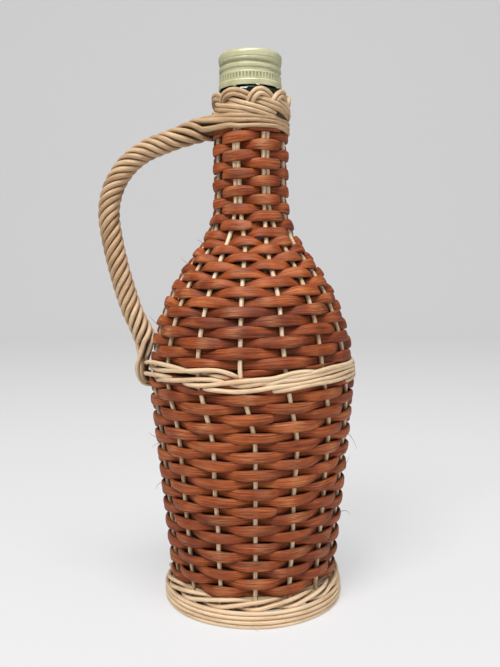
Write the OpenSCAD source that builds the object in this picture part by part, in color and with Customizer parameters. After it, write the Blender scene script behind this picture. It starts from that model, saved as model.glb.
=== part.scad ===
// A glass bottle covered in woven cane, with a roped cane handle and a rolled-on screw cap.
// The origin is on the bottle's axis at table level. The front faces -Y and the handle is on the -X side.
// An azimuth is measured from the front towards +X, so rows that rise with it climb to the right.

/* [Glass] */
// Radius of the glass where the leaning wall meets the shoulder
waist_r = 45.5; // [44:0.1:56]
// Height of the line where the wall meets the shoulder
waist_z = 103; // [85:1:130]
// Outward lean of the wall, in degrees
wall_lean = 5.85; // [0:0.05:8]
// Radius of the shoulder's round, seen from the side
shoulder_round = 92; // [60:1:94]
// Steepest inward lean of the shoulder, in degrees
shoulder_lean = 36; // [32:1:42]
// Radius of the hollow curve where the shoulder turns into the neck
throat_round = 47; // [30:1:50]
// Radius of the glass neck
neck_r = 12.7; // [12:0.1:14]
// Radius of the bore in the neck
bore_r = 9.25; // [8:0.05:10]
// Thickness of the glass below the neck
glass_t = 3.2; // [2.5:0.1:4]
// Thickness of the glass bottom at its edge
bottom_t = 5; // [3:0.5:8]
// Round between the glass wall and its bottom
heel_round = 8; // [5:0.5:10]
// Depth of the dish in the glass bottom
punt_depth = 7; // [3:0.5:12]
// Height of the glass rim above the table
rim_z = 271.7; // [262:0.1:290]
// Radius of the glass inside the cap, over its thread
finish_r = 14.5; // [14:0.1:14.7]
// Radius of the glass bead below the cap
bead_r = 15.5; // [14.8:0.1:15.7]

/* [Cap] */
// Radius of the screw cap
cap_r = 15.75; // [15.5:0.05:17]
// Height of the screw cap
cap_h = 17.6; // [15:0.1:20]
// Wall of the screw cap
cap_wall = 0.35; // [0.25:0.05:0.5]
// Thickness of the sealing liner in the cap
liner_t = 1.4; // [1:0.1:2]
// Number of flutes on the cap's knurled band
flutes = 56; // [36:1:90]

/* [Cane] */
// Thickness of the upright canes, the stakes
stake_d = 2; // [1.6:0.1:2.3]
// Thickness of the round canes in the waist band
rod_d = 2.1; // [1.7:0.1:2.2]
// Width of the flat weaving cane
weaver_w = 4.15; // [3:0.05:4.2]
// Thickness of the flat weaving cane
weaver_t = 1.5; // [1:0.1:1.7]
// How much wider the weaving cane is in front of a stake, and narrower behind it
weaver_swell = 0.24; // [0:0.02:0.3]
// Room left between canes that pass over each other
lay_gap = 0.2; // [0.1:0.05:0.3]
// Rise of one row to the next on the wall
wall_pitch = 4.44; // [4.3:0.02:6]
// Rise of one row to the next on the shoulder
shoulder_pitch = 4.75; // [4.4:0.05:6]
// Rise of one row to the next on the neck
neck_pitch = 4.35; // [4.3:0.05:6]

/* [Foot] */
// Height of the canes' level under the bottle
base_z = 3.6; // [3.5:0.1:5]
// Radius of the stakes where the foot flares out
foot_r = 42; // [41:0.1:52]
// Thickness of the round canes in the foot
foot_rod_d = 2; // [1.7:0.1:2.2]
// Turns of cane wound round the foot
foot_turns = 2; // [1:1:2]
// Depth of the flat on which the foot stands
foot_flat = 0.5; // [0.3:0.1:0.8]

/* [Handle] */
// Azimuth of the handle, in degrees
handle_az = -90; // [-110:1:-70]
// Radius of the handle's core
core_r = 2.2; // [1.8:0.1:2.8]
// Thickness of the canes laid round the core
strand_d = 2.5; // [2:0.1:2.6]
// Height of the same canes where they bind the neck, as a share of their thickness
bind_share = 0.85; // [0.7:0.05:1]
// Length of one turn of the handle's lay
lay_length = 26; // [24:1:40]
// Height where the handle's middle leaves the neck
handle_top = 238.6; // [225:0.2:240]
// Downward slope of the handle where it leaves the neck, in degrees
handle_slope = 17.5; // [5:0.5:30]
// Length of the handle's straight upper run
handle_run = 28.5; // [15:0.5:40]
// Radius of the handle's upper bend
handle_bend = 36; // [30:1:50]
// Radius of the handle's long lower curve
handle_curve = 230; // [150:5:400]

/* [Hidden] */

glass_colour = [0.05, 0.07, 0.05];
cap_colour = [0.80, 0.84, 0.62];
liner_colour = [0.93, 0.93, 0.9];
cream = [0.88, 0.76, 0.56];
brown = [0.62, 0.3, 0.15];
arc_step = 4;
joint_gap = 0.15;
eps = 0.01;

// Where the stakes and the cane in front of and behind them lie, counted outwards from the glass
stake_off = lay_gap + rod_d + lay_gap + stake_d / 2;
weave_swing = stake_d / 2 + lay_gap + weaver_t / 2;
rod_swing = stake_d / 2 + lay_gap + rod_d / 2;

// The glass outline: wall, shoulder round, straight slope, throat round and neck
shoulder_r0 = waist_r - shoulder_round * cos(wall_lean);
shoulder_z0 = waist_z + shoulder_round * sin(wall_lean);
slope_len = (shoulder_r0 + (shoulder_round + throat_round) * cos(shoulder_lean) - throat_round - neck_r)
    / sin(shoulder_lean);
throat_r0 = neck_r + throat_round;
throat_z0 = shoulder_z0 + (shoulder_round + throat_round) * sin(shoulder_lean)
    + slope_len * cos(shoulder_lean);
shoulder_len = (shoulder_round + stake_off) * (shoulder_lean + wall_lean) * PI / 180;
throat_len = (throat_round - stake_off) * shoulder_lean * PI / 180;
neck_s = shoulder_len + slope_len + throat_len;

// A point on the bottle's side as [radius, height, inward lean]: s is the way up along the stakes,
// counted from the waist line, and off is the distance outside the glass.
function side(s, off) =
    s < 0
    ? [waist_r + off * cos(wall_lean) + s * sin(wall_lean),
       waist_z - off * sin(wall_lean) + s * cos(wall_lean), -wall_lean]
    : s < shoulder_len
    ? let (a = s / (shoulder_round + stake_off) * 180 / PI - wall_lean)
      [shoulder_r0 + (shoulder_round + off) * cos(a), shoulder_z0 + (shoulder_round + off) * sin(a), a]
    : s < shoulder_len + slope_len
    ? let (a = shoulder_lean, d = s - shoulder_len)
      [shoulder_r0 + (shoulder_round + off) * cos(a) - d * sin(a),
       shoulder_z0 + (shoulder_round + off) * sin(a) + d * cos(a), a]
    : s < neck_s
    ? let (a = (neck_s - s) / (throat_round - stake_off) * 180 / PI)
      [throat_r0 - (throat_round - off) * cos(a), throat_z0 - (throat_round - off) * sin(a), a]
    : [neck_r + off, throat_z0 + s - neck_s, 0];

// The way up the wall at which the stakes reach a height below the waist line
function wall_s(z) = (z - waist_z + stake_off * sin(wall_lean)) / cos(wall_lean);

// A point from azimuth, radius and height, and the directions outwards and sideways there
function at(az, r, z) = [r * sin(az), -r * cos(az), z];
function outwards(az, lean = 0) = [cos(lean) * sin(az), -cos(lean) * cos(az), sin(lean)];
function sideways(az) = [cos(az), sin(az), 0];
function unit(v) = v / norm(v);
function smooth(t) = let (c = max(0, min(1, t))) c * c * (3 - 2 * c);

// Stakes
stakes = 15;
stake_step = 360 / stakes;
wall_az = 1.5;
waist_turn = -8;
turn_from = -18;
turn_to = 22;
groups = 9;
// Azimuths of the nine places at which the stakes gather on the neck
neck_az = [-23, 27, 80, 114, 148, 182, 215, 249, 284];
gather_from = shoulder_len + slope_len - 3;
gather_to = neck_s;
pair_step = stake_d + lay_gap;

// Six places take two stakes side by side and three take one: each stake's place, and its side of it
neck_place = [0, 1, 1, 2, 2, 3, 4, 5, 6, 6, 7, 7, 8, 8, 0];
neck_side = [1, -1, 1, -1, 1, 0, 0, 0, -1, 1, -1, 1, -1, 1, -1];
function group_of(j) = neck_place[j];
function pair_side(j) = neck_side[j];
function group_az(g) = neck_az[g % groups] + 360 * floor(g / groups);
function stake_az(j, s) =
    let (k = j % stakes, turns = floor(j / stakes),
         own = wall_az + stake_step * k + waist_turn * smooth((s - turn_from) / (turn_to - turn_from)),
         end = neck_az[group_of(k)] + (k == stakes - 1 ? 360 : 0),
         w = smooth((s - gather_from) / (gather_to - gather_from)),
         r = side(s, stake_off)[0])
    own * (1 - w) + w * (end + pair_side(k) * pair_step / 2 / r * 180 / PI) + 360 * turns;

// Cane of any section along a path: each ring stands square to the path, with its second axis outwards,
// and wide gives its width at each ring as a share of the section's
function ring(path, outs, i, sec, w) =
    let (n = len(path), t = unit(path[min(i + 1, n - 1)] - path[max(i - 1, 0)]),
         b = unit(cross(t, outs[i])), o = cross(b, t))
    [for (q = sec) path[i] + q[0] * w * b + q[1] * o];

module cane(path, outs, sec, wide) {
    m = len(sec);
    n = len(path);
    polyhedron(
        points = [for (i = [0:n - 1]) each ring(path, outs, i, sec, wide == undef ? 1 : wide[i])],
        faces = concat(
            [for (k = [1:m - 2]) [0, k, k + 1]],
            [for (i = [0:n - 2], k = [0:m - 1])
                each [[i * m + k, (i + 1) * m + k, i * m + (k + 1) % m],
                      [i * m + (k + 1) % m, (i + 1) * m + k, (i + 1) * m + (k + 1) % m]]],
            [for (k = [1:m - 2]) [(n - 1) * m, (n - 1) * m + k + 1, (n - 1) * m + k]]));
}

// Sections: a round cane with its corners on the circle, and a flat cane with bevelled outer edges
function round_sec(d, sides) = [for (k = [0:sides - 1]) d / 2 * [sin(360 * k / sides), cos(360 * k / sides)]];
flat_sec = [[-weaver_w / 2, -weaver_t / 2], [-0.3 * weaver_w, weaver_t / 2],
            [0.3 * weaver_w, weaver_t / 2], [weaver_w / 2, -weaver_t / 2]];
base_sec = [for (q = flat_sec) [q[0] * 0.88, q[1]]];
stake_sides = 4;
rod_sides = 5;

// Glass
glass_z = base_z + weave_swing + weaver_t / 2 + 0.35;
bead_z = [rim_z - 26.5, rim_z - 16.5];

function outline(s0, s1, off) =
    let (n = ceil((s1 - s0) / 6)) [for (i = [0:n]) let (p = side(s0 + (s1 - s0) * i / n, off)) [p[0], p[1]]];

// The heel's round, from the bottom up to the wall, for a skin off outside the glass and a bottom at z
function heel_s(z, off, round) = (z + round - waist_z + (off - round) * sin(wall_lean)) / cos(wall_lean);
function heel(z, off, round) =
    let (c = side(heel_s(z, off, round), off - round), n = 6)
    [for (i = [0:n]) let (a = -90 + (90 - wall_lean) * i / n) [c[0] + round * cos(a), c[1] + round * sin(a)]];

module glass_bottle() {
    body_top = shoulder_len + slope_len;
    neck_off = bore_r - neck_r;
    inner_round = heel_round - glass_t;
    color(glass_colour) rotate_extrude($fn = 96) difference() {
        polygon(concat(
            [[0, glass_z]],
            heel(glass_z, 0, heel_round),
            outline(heel_s(glass_z, 0, heel_round) + 3, neck_s, 0),
            [[neck_r, bead_z[0]], [bead_r, bead_z[0] + 3], [bead_r, bead_z[1]],
             [finish_r, bead_z[1] + 1.6], [finish_r, rim_z - 1], [finish_r - 1, rim_z], [0, rim_z]]));
        polygon(concat(
            [[0, glass_z + bottom_t + punt_depth]],
            heel(glass_z + bottom_t, -glass_t, inner_round),
            outline(heel_s(glass_z + bottom_t, -glass_t, inner_round) + 3, body_top, -glass_t),
            outline(body_top + 2, neck_s, neck_off),
            [[bore_r, rim_z + eps], [0, rim_z + eps]]));
        dish_r = (pow(punt_depth, 2) + pow(waist_r * 0.55, 2)) / (2 * punt_depth);
        translate([0, glass_z + punt_depth - dish_r]) intersection() {
            circle(r = dish_r, $fn = 180);
            square([waist_r, dish_r + 1]);
        }
    }
}

// Cap
cap_z = rim_z + joint_gap + liner_t + joint_gap + cap_wall - cap_h;
band_h = 2.6;
knurl_h = 3.4;

thread_r = cap_r - 0.3;
crown = 2.2;

module screw_cap() {
    color(cap_colour) translate([0, 0, cap_z]) {
        difference() {
            union() {
                rotate_extrude($fn = 96) difference() {
                    union() {
                        square([cap_r, band_h]);
                        translate([0, band_h]) square([cap_r - 0.25, knurl_h]);
                        translate([0, band_h + knurl_h]) square([thread_r, cap_h - band_h - knurl_h - 4.6]);
                        translate([0, cap_h - 4.6]) square([cap_r, 4.6 - crown]);
                        translate([0, cap_h - crown]) square([cap_r - crown, crown]);
                        translate([cap_r - crown, cap_h - crown]) circle(r = crown, $fn = 48);
                    }
                    translate([cap_r + 0.25, cap_h - 3.4]) circle(r = 0.5, $fn = 24);
                }
                translate([0, 0, band_h]) linear_extrude(knurl_h) difference() {
                    circle(r = cap_r, $fn = 96);
                    for (i = [0:flutes - 1]) rotate(360 / flutes * i)
                        translate([cap_r + 0.12, 0]) circle(r = 0.38, $fn = 16);
                }
            }
            rotate_extrude($fn = 96) {
                translate([0, -1]) square([thread_r - cap_wall, cap_h - crown + 1]);
                translate([0, cap_h - crown - eps]) square([thread_r - crown, crown - cap_wall + eps]);
                translate([thread_r - crown, cap_h - crown]) circle(r = crown - cap_wall, $fn = 48);
            }
        }
        for (i = [0:7]) rotate(45 * i + 14)
            translate([cap_r - cap_wall, -0.6, -0.45]) cube([cap_wall, 1.2, 0.6]);
    }
}

module cap_liner() {
    color(liner_colour) translate([0, 0, rim_z + joint_gap])
        cylinder(r = thread_r - crown + 0.5, h = liner_t, $fn = 96);
}

// Stake canes: each runs under the bottle and up both its sides, apart from the last, a half cane
pairs = [[0, 11], [1, 10], [2, 9], [3, 8], [7, 12], [6, 13], [5, 14], [4]];
cross_az = wall_az + 1.75 * stake_step;
cross_half = 5.5;
edge_r = 34;

// Sideways place and level of cane c in the cross of four over four under the bottle's middle
function cross_u(c) = [-1.5, -0.5, 0.5, 1.5, 1.5, 0.5, -0.5, -1.5][c] * pair_step;
function cross_z(c) = base_z + (c < 4 ? -1 : 1) * (pair_step / 2);
function cross_dir(c) = cross_az + (c < 4 ? 0 : 90);
function cross_point(c, d) =
    let (a = cross_dir(c)) d * outwards(a) + cross_u(c) * outwards(a + 90) + [0, 0, cross_z(c)];

// The cane that carries stake j, and on which side of the cross the stake leaves it
function cane_of(j) = [for (c = [0:7]) if (len(search(j, pairs[c])) > 0) c][0];
function fan_sign(j) = (j < 8 ? 1 : -1);

// A point on the spoke of stake j: t is 0 at the cross and 1 at the base's edge
function spoke(j, t) =
    let (c = cane_of(j), p = cross_point(c, fan_sign(j) * cross_half),
         e = at(wall_az + stake_step * j, edge_r, base_z), q = p + (e - p) * t)
    [q[0], q[1], t > 0.3 ? base_z : p[2] + (base_z - p[2]) * t / 0.3];

// The flare of the foot, as [radius, height], between the base and the wall
foot_s = wall_s(base_z + 9.4);
foot_steps = [[foot_r - 3.9, base_z], [foot_r - 0.9, base_z + 1.5], [foot_r, base_z + 3.6],
              [foot_r - 0.7, base_z + 7]];

// Places of the plaited border at the collar. Each group rises behind the tails of the two before it,
// arches over to the right, dips behind the next rise and lies as a tail over the foot of the one after.
collar_z = rim_z - 37.5;
collar_az = [-2, 36, 78, 118, 155, 192, 230, 268, 309];
inner_r = bead_r + lay_gap + stake_d / 2;
outer_r = inner_r + stake_d + 2 * lay_gap;
function rise_az(g) = collar_az[g % groups] + 360 * floor(g / groups);
function border(g) =
    let (a = group_az(g), a0 = rise_az(g), a1 = rise_az(g + 1), a2 = rise_az(g + 2), a3 = rise_az(g + 3),
         d0 = a1 - a0, d1 = a2 - a1, d2 = a3 - a2, n = neck_r + stake_off,
         i = inner_r, m = (inner_r + outer_r) / 2, o = outer_r)
    [[a, n, 1.5], [0.6 * a + 0.4 * (a0 - 9), n, 6], [a0 - 9, i, 10.3], [a0 - 6, i, 12.8],
     [a0 - 1, o, 15.1], [a0 + 5, o, 16.8], [a0 + 0.3 * d0, o - 0.3, 18], [a0 + 0.55 * d0, m, 18.1],
     [a0 + 0.8 * d0, i + 0.5, 17.4], [a1 - 2, i, 16.5], [a1 + 0.2 * d1, i, 15.3],
     [a1 + 0.45 * d1, o - 0.4, 13.7], [a1 + 0.75 * d1, o, 11.9], [a2 - 2, o, 10.7],
     [a2 + 0.25 * d2, o, 9.7], [a2 + 0.43 * d2, o, 9.1]];

// The ways up at which a stake bends, and the middle of stake j at any way up
knots = concat([foot_s, turn_from, turn_from / 2], [for (i = [0:6]) shoulder_len * i / 6],
    [for (i = [0:5]) shoulder_len + slope_len + throat_len * i / 5]);
knots_above = concat(knots, [neck_s + 60]);
function knot_point(j, i) =
    let (s = knots_above[i], p = side(s, stake_off)) at(stake_az(j, s), p[0], p[1]);
function stake_mid(j, s) =
    let (i = max([for (k = [0:len(knots) - 1]) if (k == 0 || knots[k] <= s) k]),
         t = (s - knots[i]) / (knots_above[i + 1] - knots[i]))
    knot_point(j, i) * (1 - t) + knot_point(j, i + 1) * t;

// Half a stake cane, from the cross up to the border's end
function stake_path(j) =
    let (g = group_of(j) + (j == stakes - 1 ? groups : 0), az = wall_az + stake_step * j,
         mid = [for (b = border(g)) at(b[0], b[1], collar_z + b[2])],
         outs = [for (b = border(g)) outwards(b[0])])
    concat(
        [for (t = [0, 0.3, 1]) spoke(j, t)],
        [for (p = foot_steps) at(az, p[0], p[1])],
        [for (i = [0:len(knots) - 1]) knot_point(j, i)],
        [for (i = [0:len(mid) - 1])
            let (t = unit(mid[min(i + 1, len(mid) - 1)] - mid[max(i - 1, 0)]))
            mid[i] + pair_side(j) * pair_step / 2 * unit(cross(outs[i], t)) * -1]);

function stake_outs(j) =
    let (path = stake_path(j), g = group_of(j) + (j == stakes - 1 ? groups : 0), b = border(g))
    [for (i = [0:len(path) - 1])
        i < 4 ? [0, 0, -1]
        : i == 4 ? unit(unit([path[i][0], path[i][1], 0]) + [0, 0, -1])
        : i < len(path) - len(b) ? unit([path[i][0], path[i][1], 0])
        : outwards(b[i - len(path) + len(b)][0])];

function backwards(list) = [for (i = [len(list) - 1:-1:0]) list[i]];

module stake_cane(c) {
    ends = pairs[c];
    far = len(ends) > 1
        ? backwards(stake_path(ends[1]))
        : [cross_point(c, 1 - cross_half)];
    far_outs = len(ends) > 1 ? backwards(stake_outs(ends[1])) : [[0, 0, -1]];
    color(cream) cane(concat(far, stake_path(ends[0])), concat(far_outs, stake_outs(ends[0])),
        round_sec(stake_d, stake_sides));
}

// Weaving on the base: rows round the spokes, level after level outwards
base_rows = 3;
base_from = 0.4;
base_to = 0.96;

module base_weaver() {
    n = base_rows * stakes;
    path = [for (k = [0:n])
        let (t = base_from + (base_to - base_from) * k / n, p = spoke(k % stakes, t))
        p + [0, 0, (k % 2 == 0 ? 1 : -1) * weave_swing]];
    color(brown) cane(path, [for (p = path) [0, 0, -1]], base_sec);
}

// Foot: a rim hoop that stands on the table, and a cane wound on above it
hoop_r = foot_r + stake_d / 2 + lay_gap + foot_rod_d / 2 + 0.35;
rim_level = foot_rod_d / 2 - foot_flat;
winding_gap = 0.45;
winding_z = rim_level + foot_rod_d + 0.05;
winding_pitch = foot_rod_d + winding_gap;
form_rings = 24;
form_sides = 6;

module foot_rim() {
    color(cream) difference() {
        rotate([0, 0, 90]) rotate_extrude(angle = 359, $fn = 96)
            translate([hoop_r, rim_level]) circle(d = foot_rod_d, $fn = 32);
        translate([0, 0, -5]) cube([3 * hoop_r, 3 * hoop_r, 10], center = true);
    }
}

wound = [for (i = [0:foot_turns * form_rings])
    let (az = 170 + 360 * i / form_rings) at(az, hoop_r, winding_z + winding_pitch * i / form_rings)];

module foot_winding()
    color(cream) cane(wound, [for (p = wound) unit([p[0], p[1], 0])], round_sec(foot_rod_d, form_sides));

// The least gap between one turn of the foot winding and the next, measured on the points of its middle
if (foot_turns > 1) echo(foot_winding_least_gap = min([for (i = [0:len(wound) - 1 - form_rings])
    norm(wound[i + form_rings] - wound[i])]) - foot_rod_d);

// Waling: rods that pass in front of all stakes but one, behind that one, and so on. Each stands one
// stake behind the last, so they rise across the front like the strands of a rope.
wale_height = (foot_rod_d + lay_gap) / 2;
wale_z = winding_z + foot_turns * winding_pitch + foot_rod_d + wale_height + 0.05;
wale_r = foot_r - 0.7;
wale_swing = stake_d / 2 + lay_gap + foot_rod_d / 2 + 0.1;

// Place q of a rod, in stakes: low in front, high in front, then behind. Half places lie between two.
function wale_point(q, az) =
    let (p = floor(q) % 3, half = q > floor(q), out = p == 2 ? -1 : 1, next = p == 1 ? -1 : 1,
         h = half ? [0, 1, -1][p] : [-1, 1, 0][p], o = half ? (out + next) / 2 : out)
    at(az, wale_r + o * wale_swing, wale_z + h * wale_height);

module foot_wale(i) {
    path = [for (k = [0:2 * stakes - 2]) wale_point(k / 2 + i, wall_az + stake_step * (11 + k / 2))];
    color(cream) cane(path, [for (p = path) unit([p[0], p[1], 0])], round_sec(foot_rod_d, stake_sides));
}

// The waist band is two pairs of rods. A pair goes behind a stake, comes out below, crosses in front of
// the other pair four stakes on and goes behind again after eight. It begins and ends under the handle.
band_s = 13.1;
band_gap = rod_d + 0.15;
band_half = 1.5 * band_gap + rod_d / 2 + 0.15;
band_lane = [0, -1, -1, -1, 0, 1, 1, 1];

module waist_rod(i) {
    first = -4;
    p0 = side(band_s, stake_off);
    lean = p0[2];
    path = [for (k2 = [2 * first:2 * (first + stakes)])
        let (k = floor(k2 / 2), half = k2 / 2 - k, lane = ((k + (i < 2 ? 0 : 4)) % 8 + 8) % 8,
             turn = lane == 0 || lane == 3 || lane == 4 || lane == 7)
        if (half == 0 || turn)
            let (h = (half == 0 ? band_lane[lane] : [-0.84, 0, 0, -0.75, 0.75, 0, 0, 0.84][lane])
                     + (i % 2 == 0 ? -0.5 : 0.5),
                 o = half == 0 ? (lane == 0 ? -1 : 1) : (lane == 0 || lane == 7 ? -0.27 : 1),
                 nudge = k2 == 2 * first ? 5 : k2 == 2 * (first + stakes) ? -7 : 0,
                 az = stake_az((k + stakes) % stakes, band_s) + 360 * floor(k / stakes)
                     + stake_step * half + nudge)
            at(az, p0[0] + o * rod_swing * cos(lean) - h * band_gap * sin(lean),
               p0[1] + h * band_gap * cos(lean) + o * rod_swing * sin(lean))];
    color(cream) cane(path, [for (p = path) unit([p[0], p[1], 0])], round_sec(rod_d, rod_sides));
}

// Weaving on the wall and shoulder: crossing k of the spiral meets stake k, and each is on the other side
// of its stake than the last, so that 15 stakes make each row alternate with the row below it. front is
// 1 where the odd crossings lie in front. A cane ends in front of the one that takes over from it.
function crossing(k, s_start, pitch, front, share = 1) =
    let (k0 = floor(k), s = s_start + pitch * k / stakes, f = k - k0,
         m0 = stake_mid((k0 + 10 * stakes) % stakes, s), m1 = stake_mid((k0 + 1 + 10 * stakes) % stakes, s),
         a0 = atan2(m0[0], -m0[1]), a1 = atan2(m1[0], -m1[1]), az = a0 + ((a1 - a0 + 540) % 360 - 180) * f,
         o = ((k0 + 10 * stakes) % 2 == front ? 1 : -1) * share, lean = side(s, 0)[2],
         r = norm([m0[0], m0[1]]) + o * weave_swing * cos(lean), z = m0[2] + o * weave_swing * sin(lean))
    [at(az, r, z), cos(lean) * outwards(az) + [0, 0, sin(lean)], 1 + o * swell(s)];

// The swell dies out where the weaving meets the foot, the waist band and the neck
function swell(s) = weaver_swell * min([1, abs(s - wall_start) / 12, abs(s - band_s) / 18,
    abs(s - neck_start) / 18]);

function spiral(k0, k1, s_start, pitch, front, takes, hands) = concat(
    takes ? [crossing(k0 - 0.62, s_start, pitch, front, -0.35)] : [],
    [for (k = [k0:k1]) crossing(k, s_start, pitch, front)],
    hands ? [crossing(k1 + 0.55, s_start, pitch, front, 0.6)] : []);

// A cane through marks, each a point, the way outwards there and the width
module marked_cane(marks, sec, colour)
    color(colour) cane([for (m = marks) m[0]], [for (m = marks) m[1]], sec, [for (m = marks) m[2]]);

module flat_cane(marks) marked_cane(marks, flat_sec, brown);

wall_start = wall_s(base_z + 12.6);
wall_rows = floor((band_s - band_half - weaver_w / 2 - wall_start) / wall_pitch + 0.8);
wall_joins = [-4, 2 * floor(wall_rows * 0.21) * stakes + stakes, 2 * floor(wall_rows * 0.43) * stakes + stakes,
              floor((band_s - band_half - weaver_w / 2 - 0.1 - wall_start) / wall_pitch * stakes)];

module wall_weaver(i) flat_cane(spiral(wall_joins[i] + (i > 0 ? 1 : 0), wall_joins[i + 1],
    wall_start, wall_pitch, 1, i > 0, i < 2));

shoulder_start = band_s + 4.15;
shoulder_rows = 2 * floor((gather_from + 13 - shoulder_start) / shoulder_pitch / 2);
shoulder_joins = [ceil((band_half + weaver_w / 2 + 0.1 - 4.15) / shoulder_pitch * stakes),
                  2 * floor(shoulder_rows * 0.28) * stakes + 8, shoulder_rows * stakes + 6];

// The three turns that bind the handle to the neck, above the weaving
bind_r = neck_r + stake_off + stake_d / 2 + lay_gap + strand_d / 2;
bind_z = collar_z + 3.5;
bind_pitch = strand_d * bind_share + 0.12;
bind_tilt = -1.5;

// Weaving on the neck takes a pair of stakes as one, and the cane lies flat in front of it and behind it.
neck_from = 5;
neck_start = shoulder_start + shoulder_pitch * (shoulder_joins[2] + 1) / stakes + 0.7;
function members(g) = [for (j = [0:stakes - 1]) if (group_of(j) == g) j];
function neck_s_at(az) = neck_start + neck_pitch * (az - neck_az[neck_from]) / 360;
function neck_cross(c) =
    let (g = c % groups, turn = floor(c / groups), s = neck_s_at(group_az(c)),
         mids = [for (j = members(g)) stake_mid(j, s)], mid = (mids[0] + mids[len(mids) - 1]) / 2,
         o = c % 2 == 0 ? 1 : -1, lean = side(s, 0)[2],
         r = norm([mids[0][0], mids[0][1]]) + o * weave_swing * cos(lean),
         z = mid[2] + o * weave_swing * sin(lean), az = atan2(mid[0], -mid[1]),
         j = members(g)[0], sway = stake_mid(j, s + weaver_w / 2) - stake_mid(j, s - weaver_w / 2),
         e = norm(mids[len(mids) - 1] - mids[0]) / 2 + 0.3 * stake_d + abs(sway * sideways(az)) / 2)
    [for (d = e > 0.5 * stake_d ? [-e, e] : [0]) let (a = az + d / r * 180 / PI)
        [at(a, r, z), cos(lean) * outwards(a) + [0, 0, sin(lean)], 1 + o * swell(s)]];

// The point a share of the way from place c to the next, as far out as o times the weave's swing
function neck_between(c, share, o) =
    let (a = group_az(c) * (1 - share) + group_az(c + 1) * share, s = neck_s_at(a),
         p = side(s, stake_off + o * weave_swing))
    [at(a, p[0], p[1]), cos(p[2]) * outwards(a) + [0, 0, sin(p[2])], 1 + o * swell(s)];

neck_join = 2 * groups;
neck_top = bind_z - bind_pitch - strand_d * bind_share / 2 - 0.3;
neck_room = neck_s + neck_top - weaver_w * (1 + weaver_swell) / 2 - throat_z0 - neck_s_at(neck_az[0] + 360);
neck_rows = 2 * floor((neck_room / neck_pitch - 1) / 2) + 1;

module shoulder_weaver(i) flat_cane(concat(
    spiral(shoulder_joins[i] + (i > 0 ? 1 : 0), shoulder_joins[i + 1],
        shoulder_start, shoulder_pitch, 0, i > 0, i < 1),
    i < 1 ? [] : [for (c = [neck_from:neck_join]) each neck_cross(c)],
    i < 1 ? [] : [neck_between(neck_join, 0.5, 0.6)]));

module neck_weaver() flat_cane(concat([neck_between(neck_join, 0.36, -0.35)],
    [for (c = [neck_join + 1:groups * (neck_rows + 1) + 1]) each neck_cross(c)]));

// Handle: its middle line runs out from the neck, round a tight bend and down a long curve to the waist
strand_ring = core_r + 0.45 + strand_d / 2;
handle_or = strand_ring + strand_d / 2;
run_r = 400;
run_end = handle_slope + handle_run / run_r * 180 / PI;
bend_end = 98;
curve_end = 109.5;
tail_r = 300;
tail_end = 106;
handle_r0 = outer_r + 3.2;
run_c = [handle_r0, handle_top] - run_r * [sin(handle_slope), cos(handle_slope)];
bend_c = run_c + (run_r - handle_bend) * [sin(run_end), cos(run_end)];
curve_c = bend_c - (handle_curve - handle_bend) * [sin(bend_end), cos(bend_end)];
tail_c = curve_c + (handle_curve + tail_r) * [sin(curve_end), cos(curve_end)];
tail_from = curve_end - 180;

bend_len = handle_bend * (bend_end - run_end) * PI / 180;
curve_len = handle_curve * (curve_end - bend_end) * PI / 180;
tail_len = tail_r * (curve_end - tail_end) * PI / 180;
handle_len = handle_run + bend_len + curve_len + tail_len;

// A point on the middle line as [radius, height, direction below the level], s along it from the neck
function handle_line(s) =
    let (s1 = s - handle_run, s2 = s1 - bend_len, s3 = s2 - curve_len)
    s1 < 0 ? let (d = handle_slope + s / run_r * 180 / PI)
        [run_c[0] + run_r * sin(d), run_c[1] + run_r * cos(d), d]
    : s2 < 0 ? let (d = run_end + s1 / handle_bend * 180 / PI)
        [bend_c[0] + handle_bend * sin(d), bend_c[1] + handle_bend * cos(d), d]
    : s3 < 0 ? let (d = bend_end + s2 / handle_curve * 180 / PI)
        [curve_c[0] + handle_curve * sin(d), curve_c[1] + handle_curve * cos(d), d]
    : let (d = curve_end - s3 / tail_r * 180 / PI)
        [tail_c[0] - tail_r * sin(d), tail_c[1] - tail_r * cos(d), d];

// The strands part from the rope this far from its ends, and the core stops a little sooner
rope_end = 6;
core_end = 5.2;

module handle_core() {
    n = 24;
    line = [for (k = [0:n]) handle_line(core_end + (handle_len - 2 * core_end) * k / n)];
    color(cream) cane([for (p = line) at(handle_az, p[0], p[1])],
        [for (p = line) outwards(handle_az) * sin(p[2]) + [0, 0, cos(p[2])]], round_sec(2 * core_r, 6));
}

// Handle strands: three leave the rope to each side of the neck and bind it, one above the other, and
// at the foot all six part and hook over the waist band side by side
strand_rings = 44;
rope_len = handle_len - 2 * rope_end;
lay_turns = round(rope_len / lay_length * 6) / 6;
hook_r = side(band_s, stake_off + rod_swing)[0] + rod_d / 2 + lay_gap + strand_d / 2;
hook_z = side(band_s, stake_off)[1];
hook_step = strand_d + 0.2;

function bind_point(sgn, b, level) = at(handle_az + sgn * b, bind_r,
    bind_z + level * bind_pitch + bind_tilt * (sgn > 0 ? smooth((b - 45) / 105) : smooth((b - 90) / 60)));

function rope_point(i, t) =
    let (p = handle_line(rope_end + rope_len * t), a = 30 + 60 * i + 360 * lay_turns * t,
         out = outwards(handle_az) * sin(p[2]) + [0, 0, cos(p[2])],
         away = out * cos(a) - sideways(handle_az) * sin(a))
    [at(handle_az, p[0], p[1]) + strand_ring * away, away];

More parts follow.
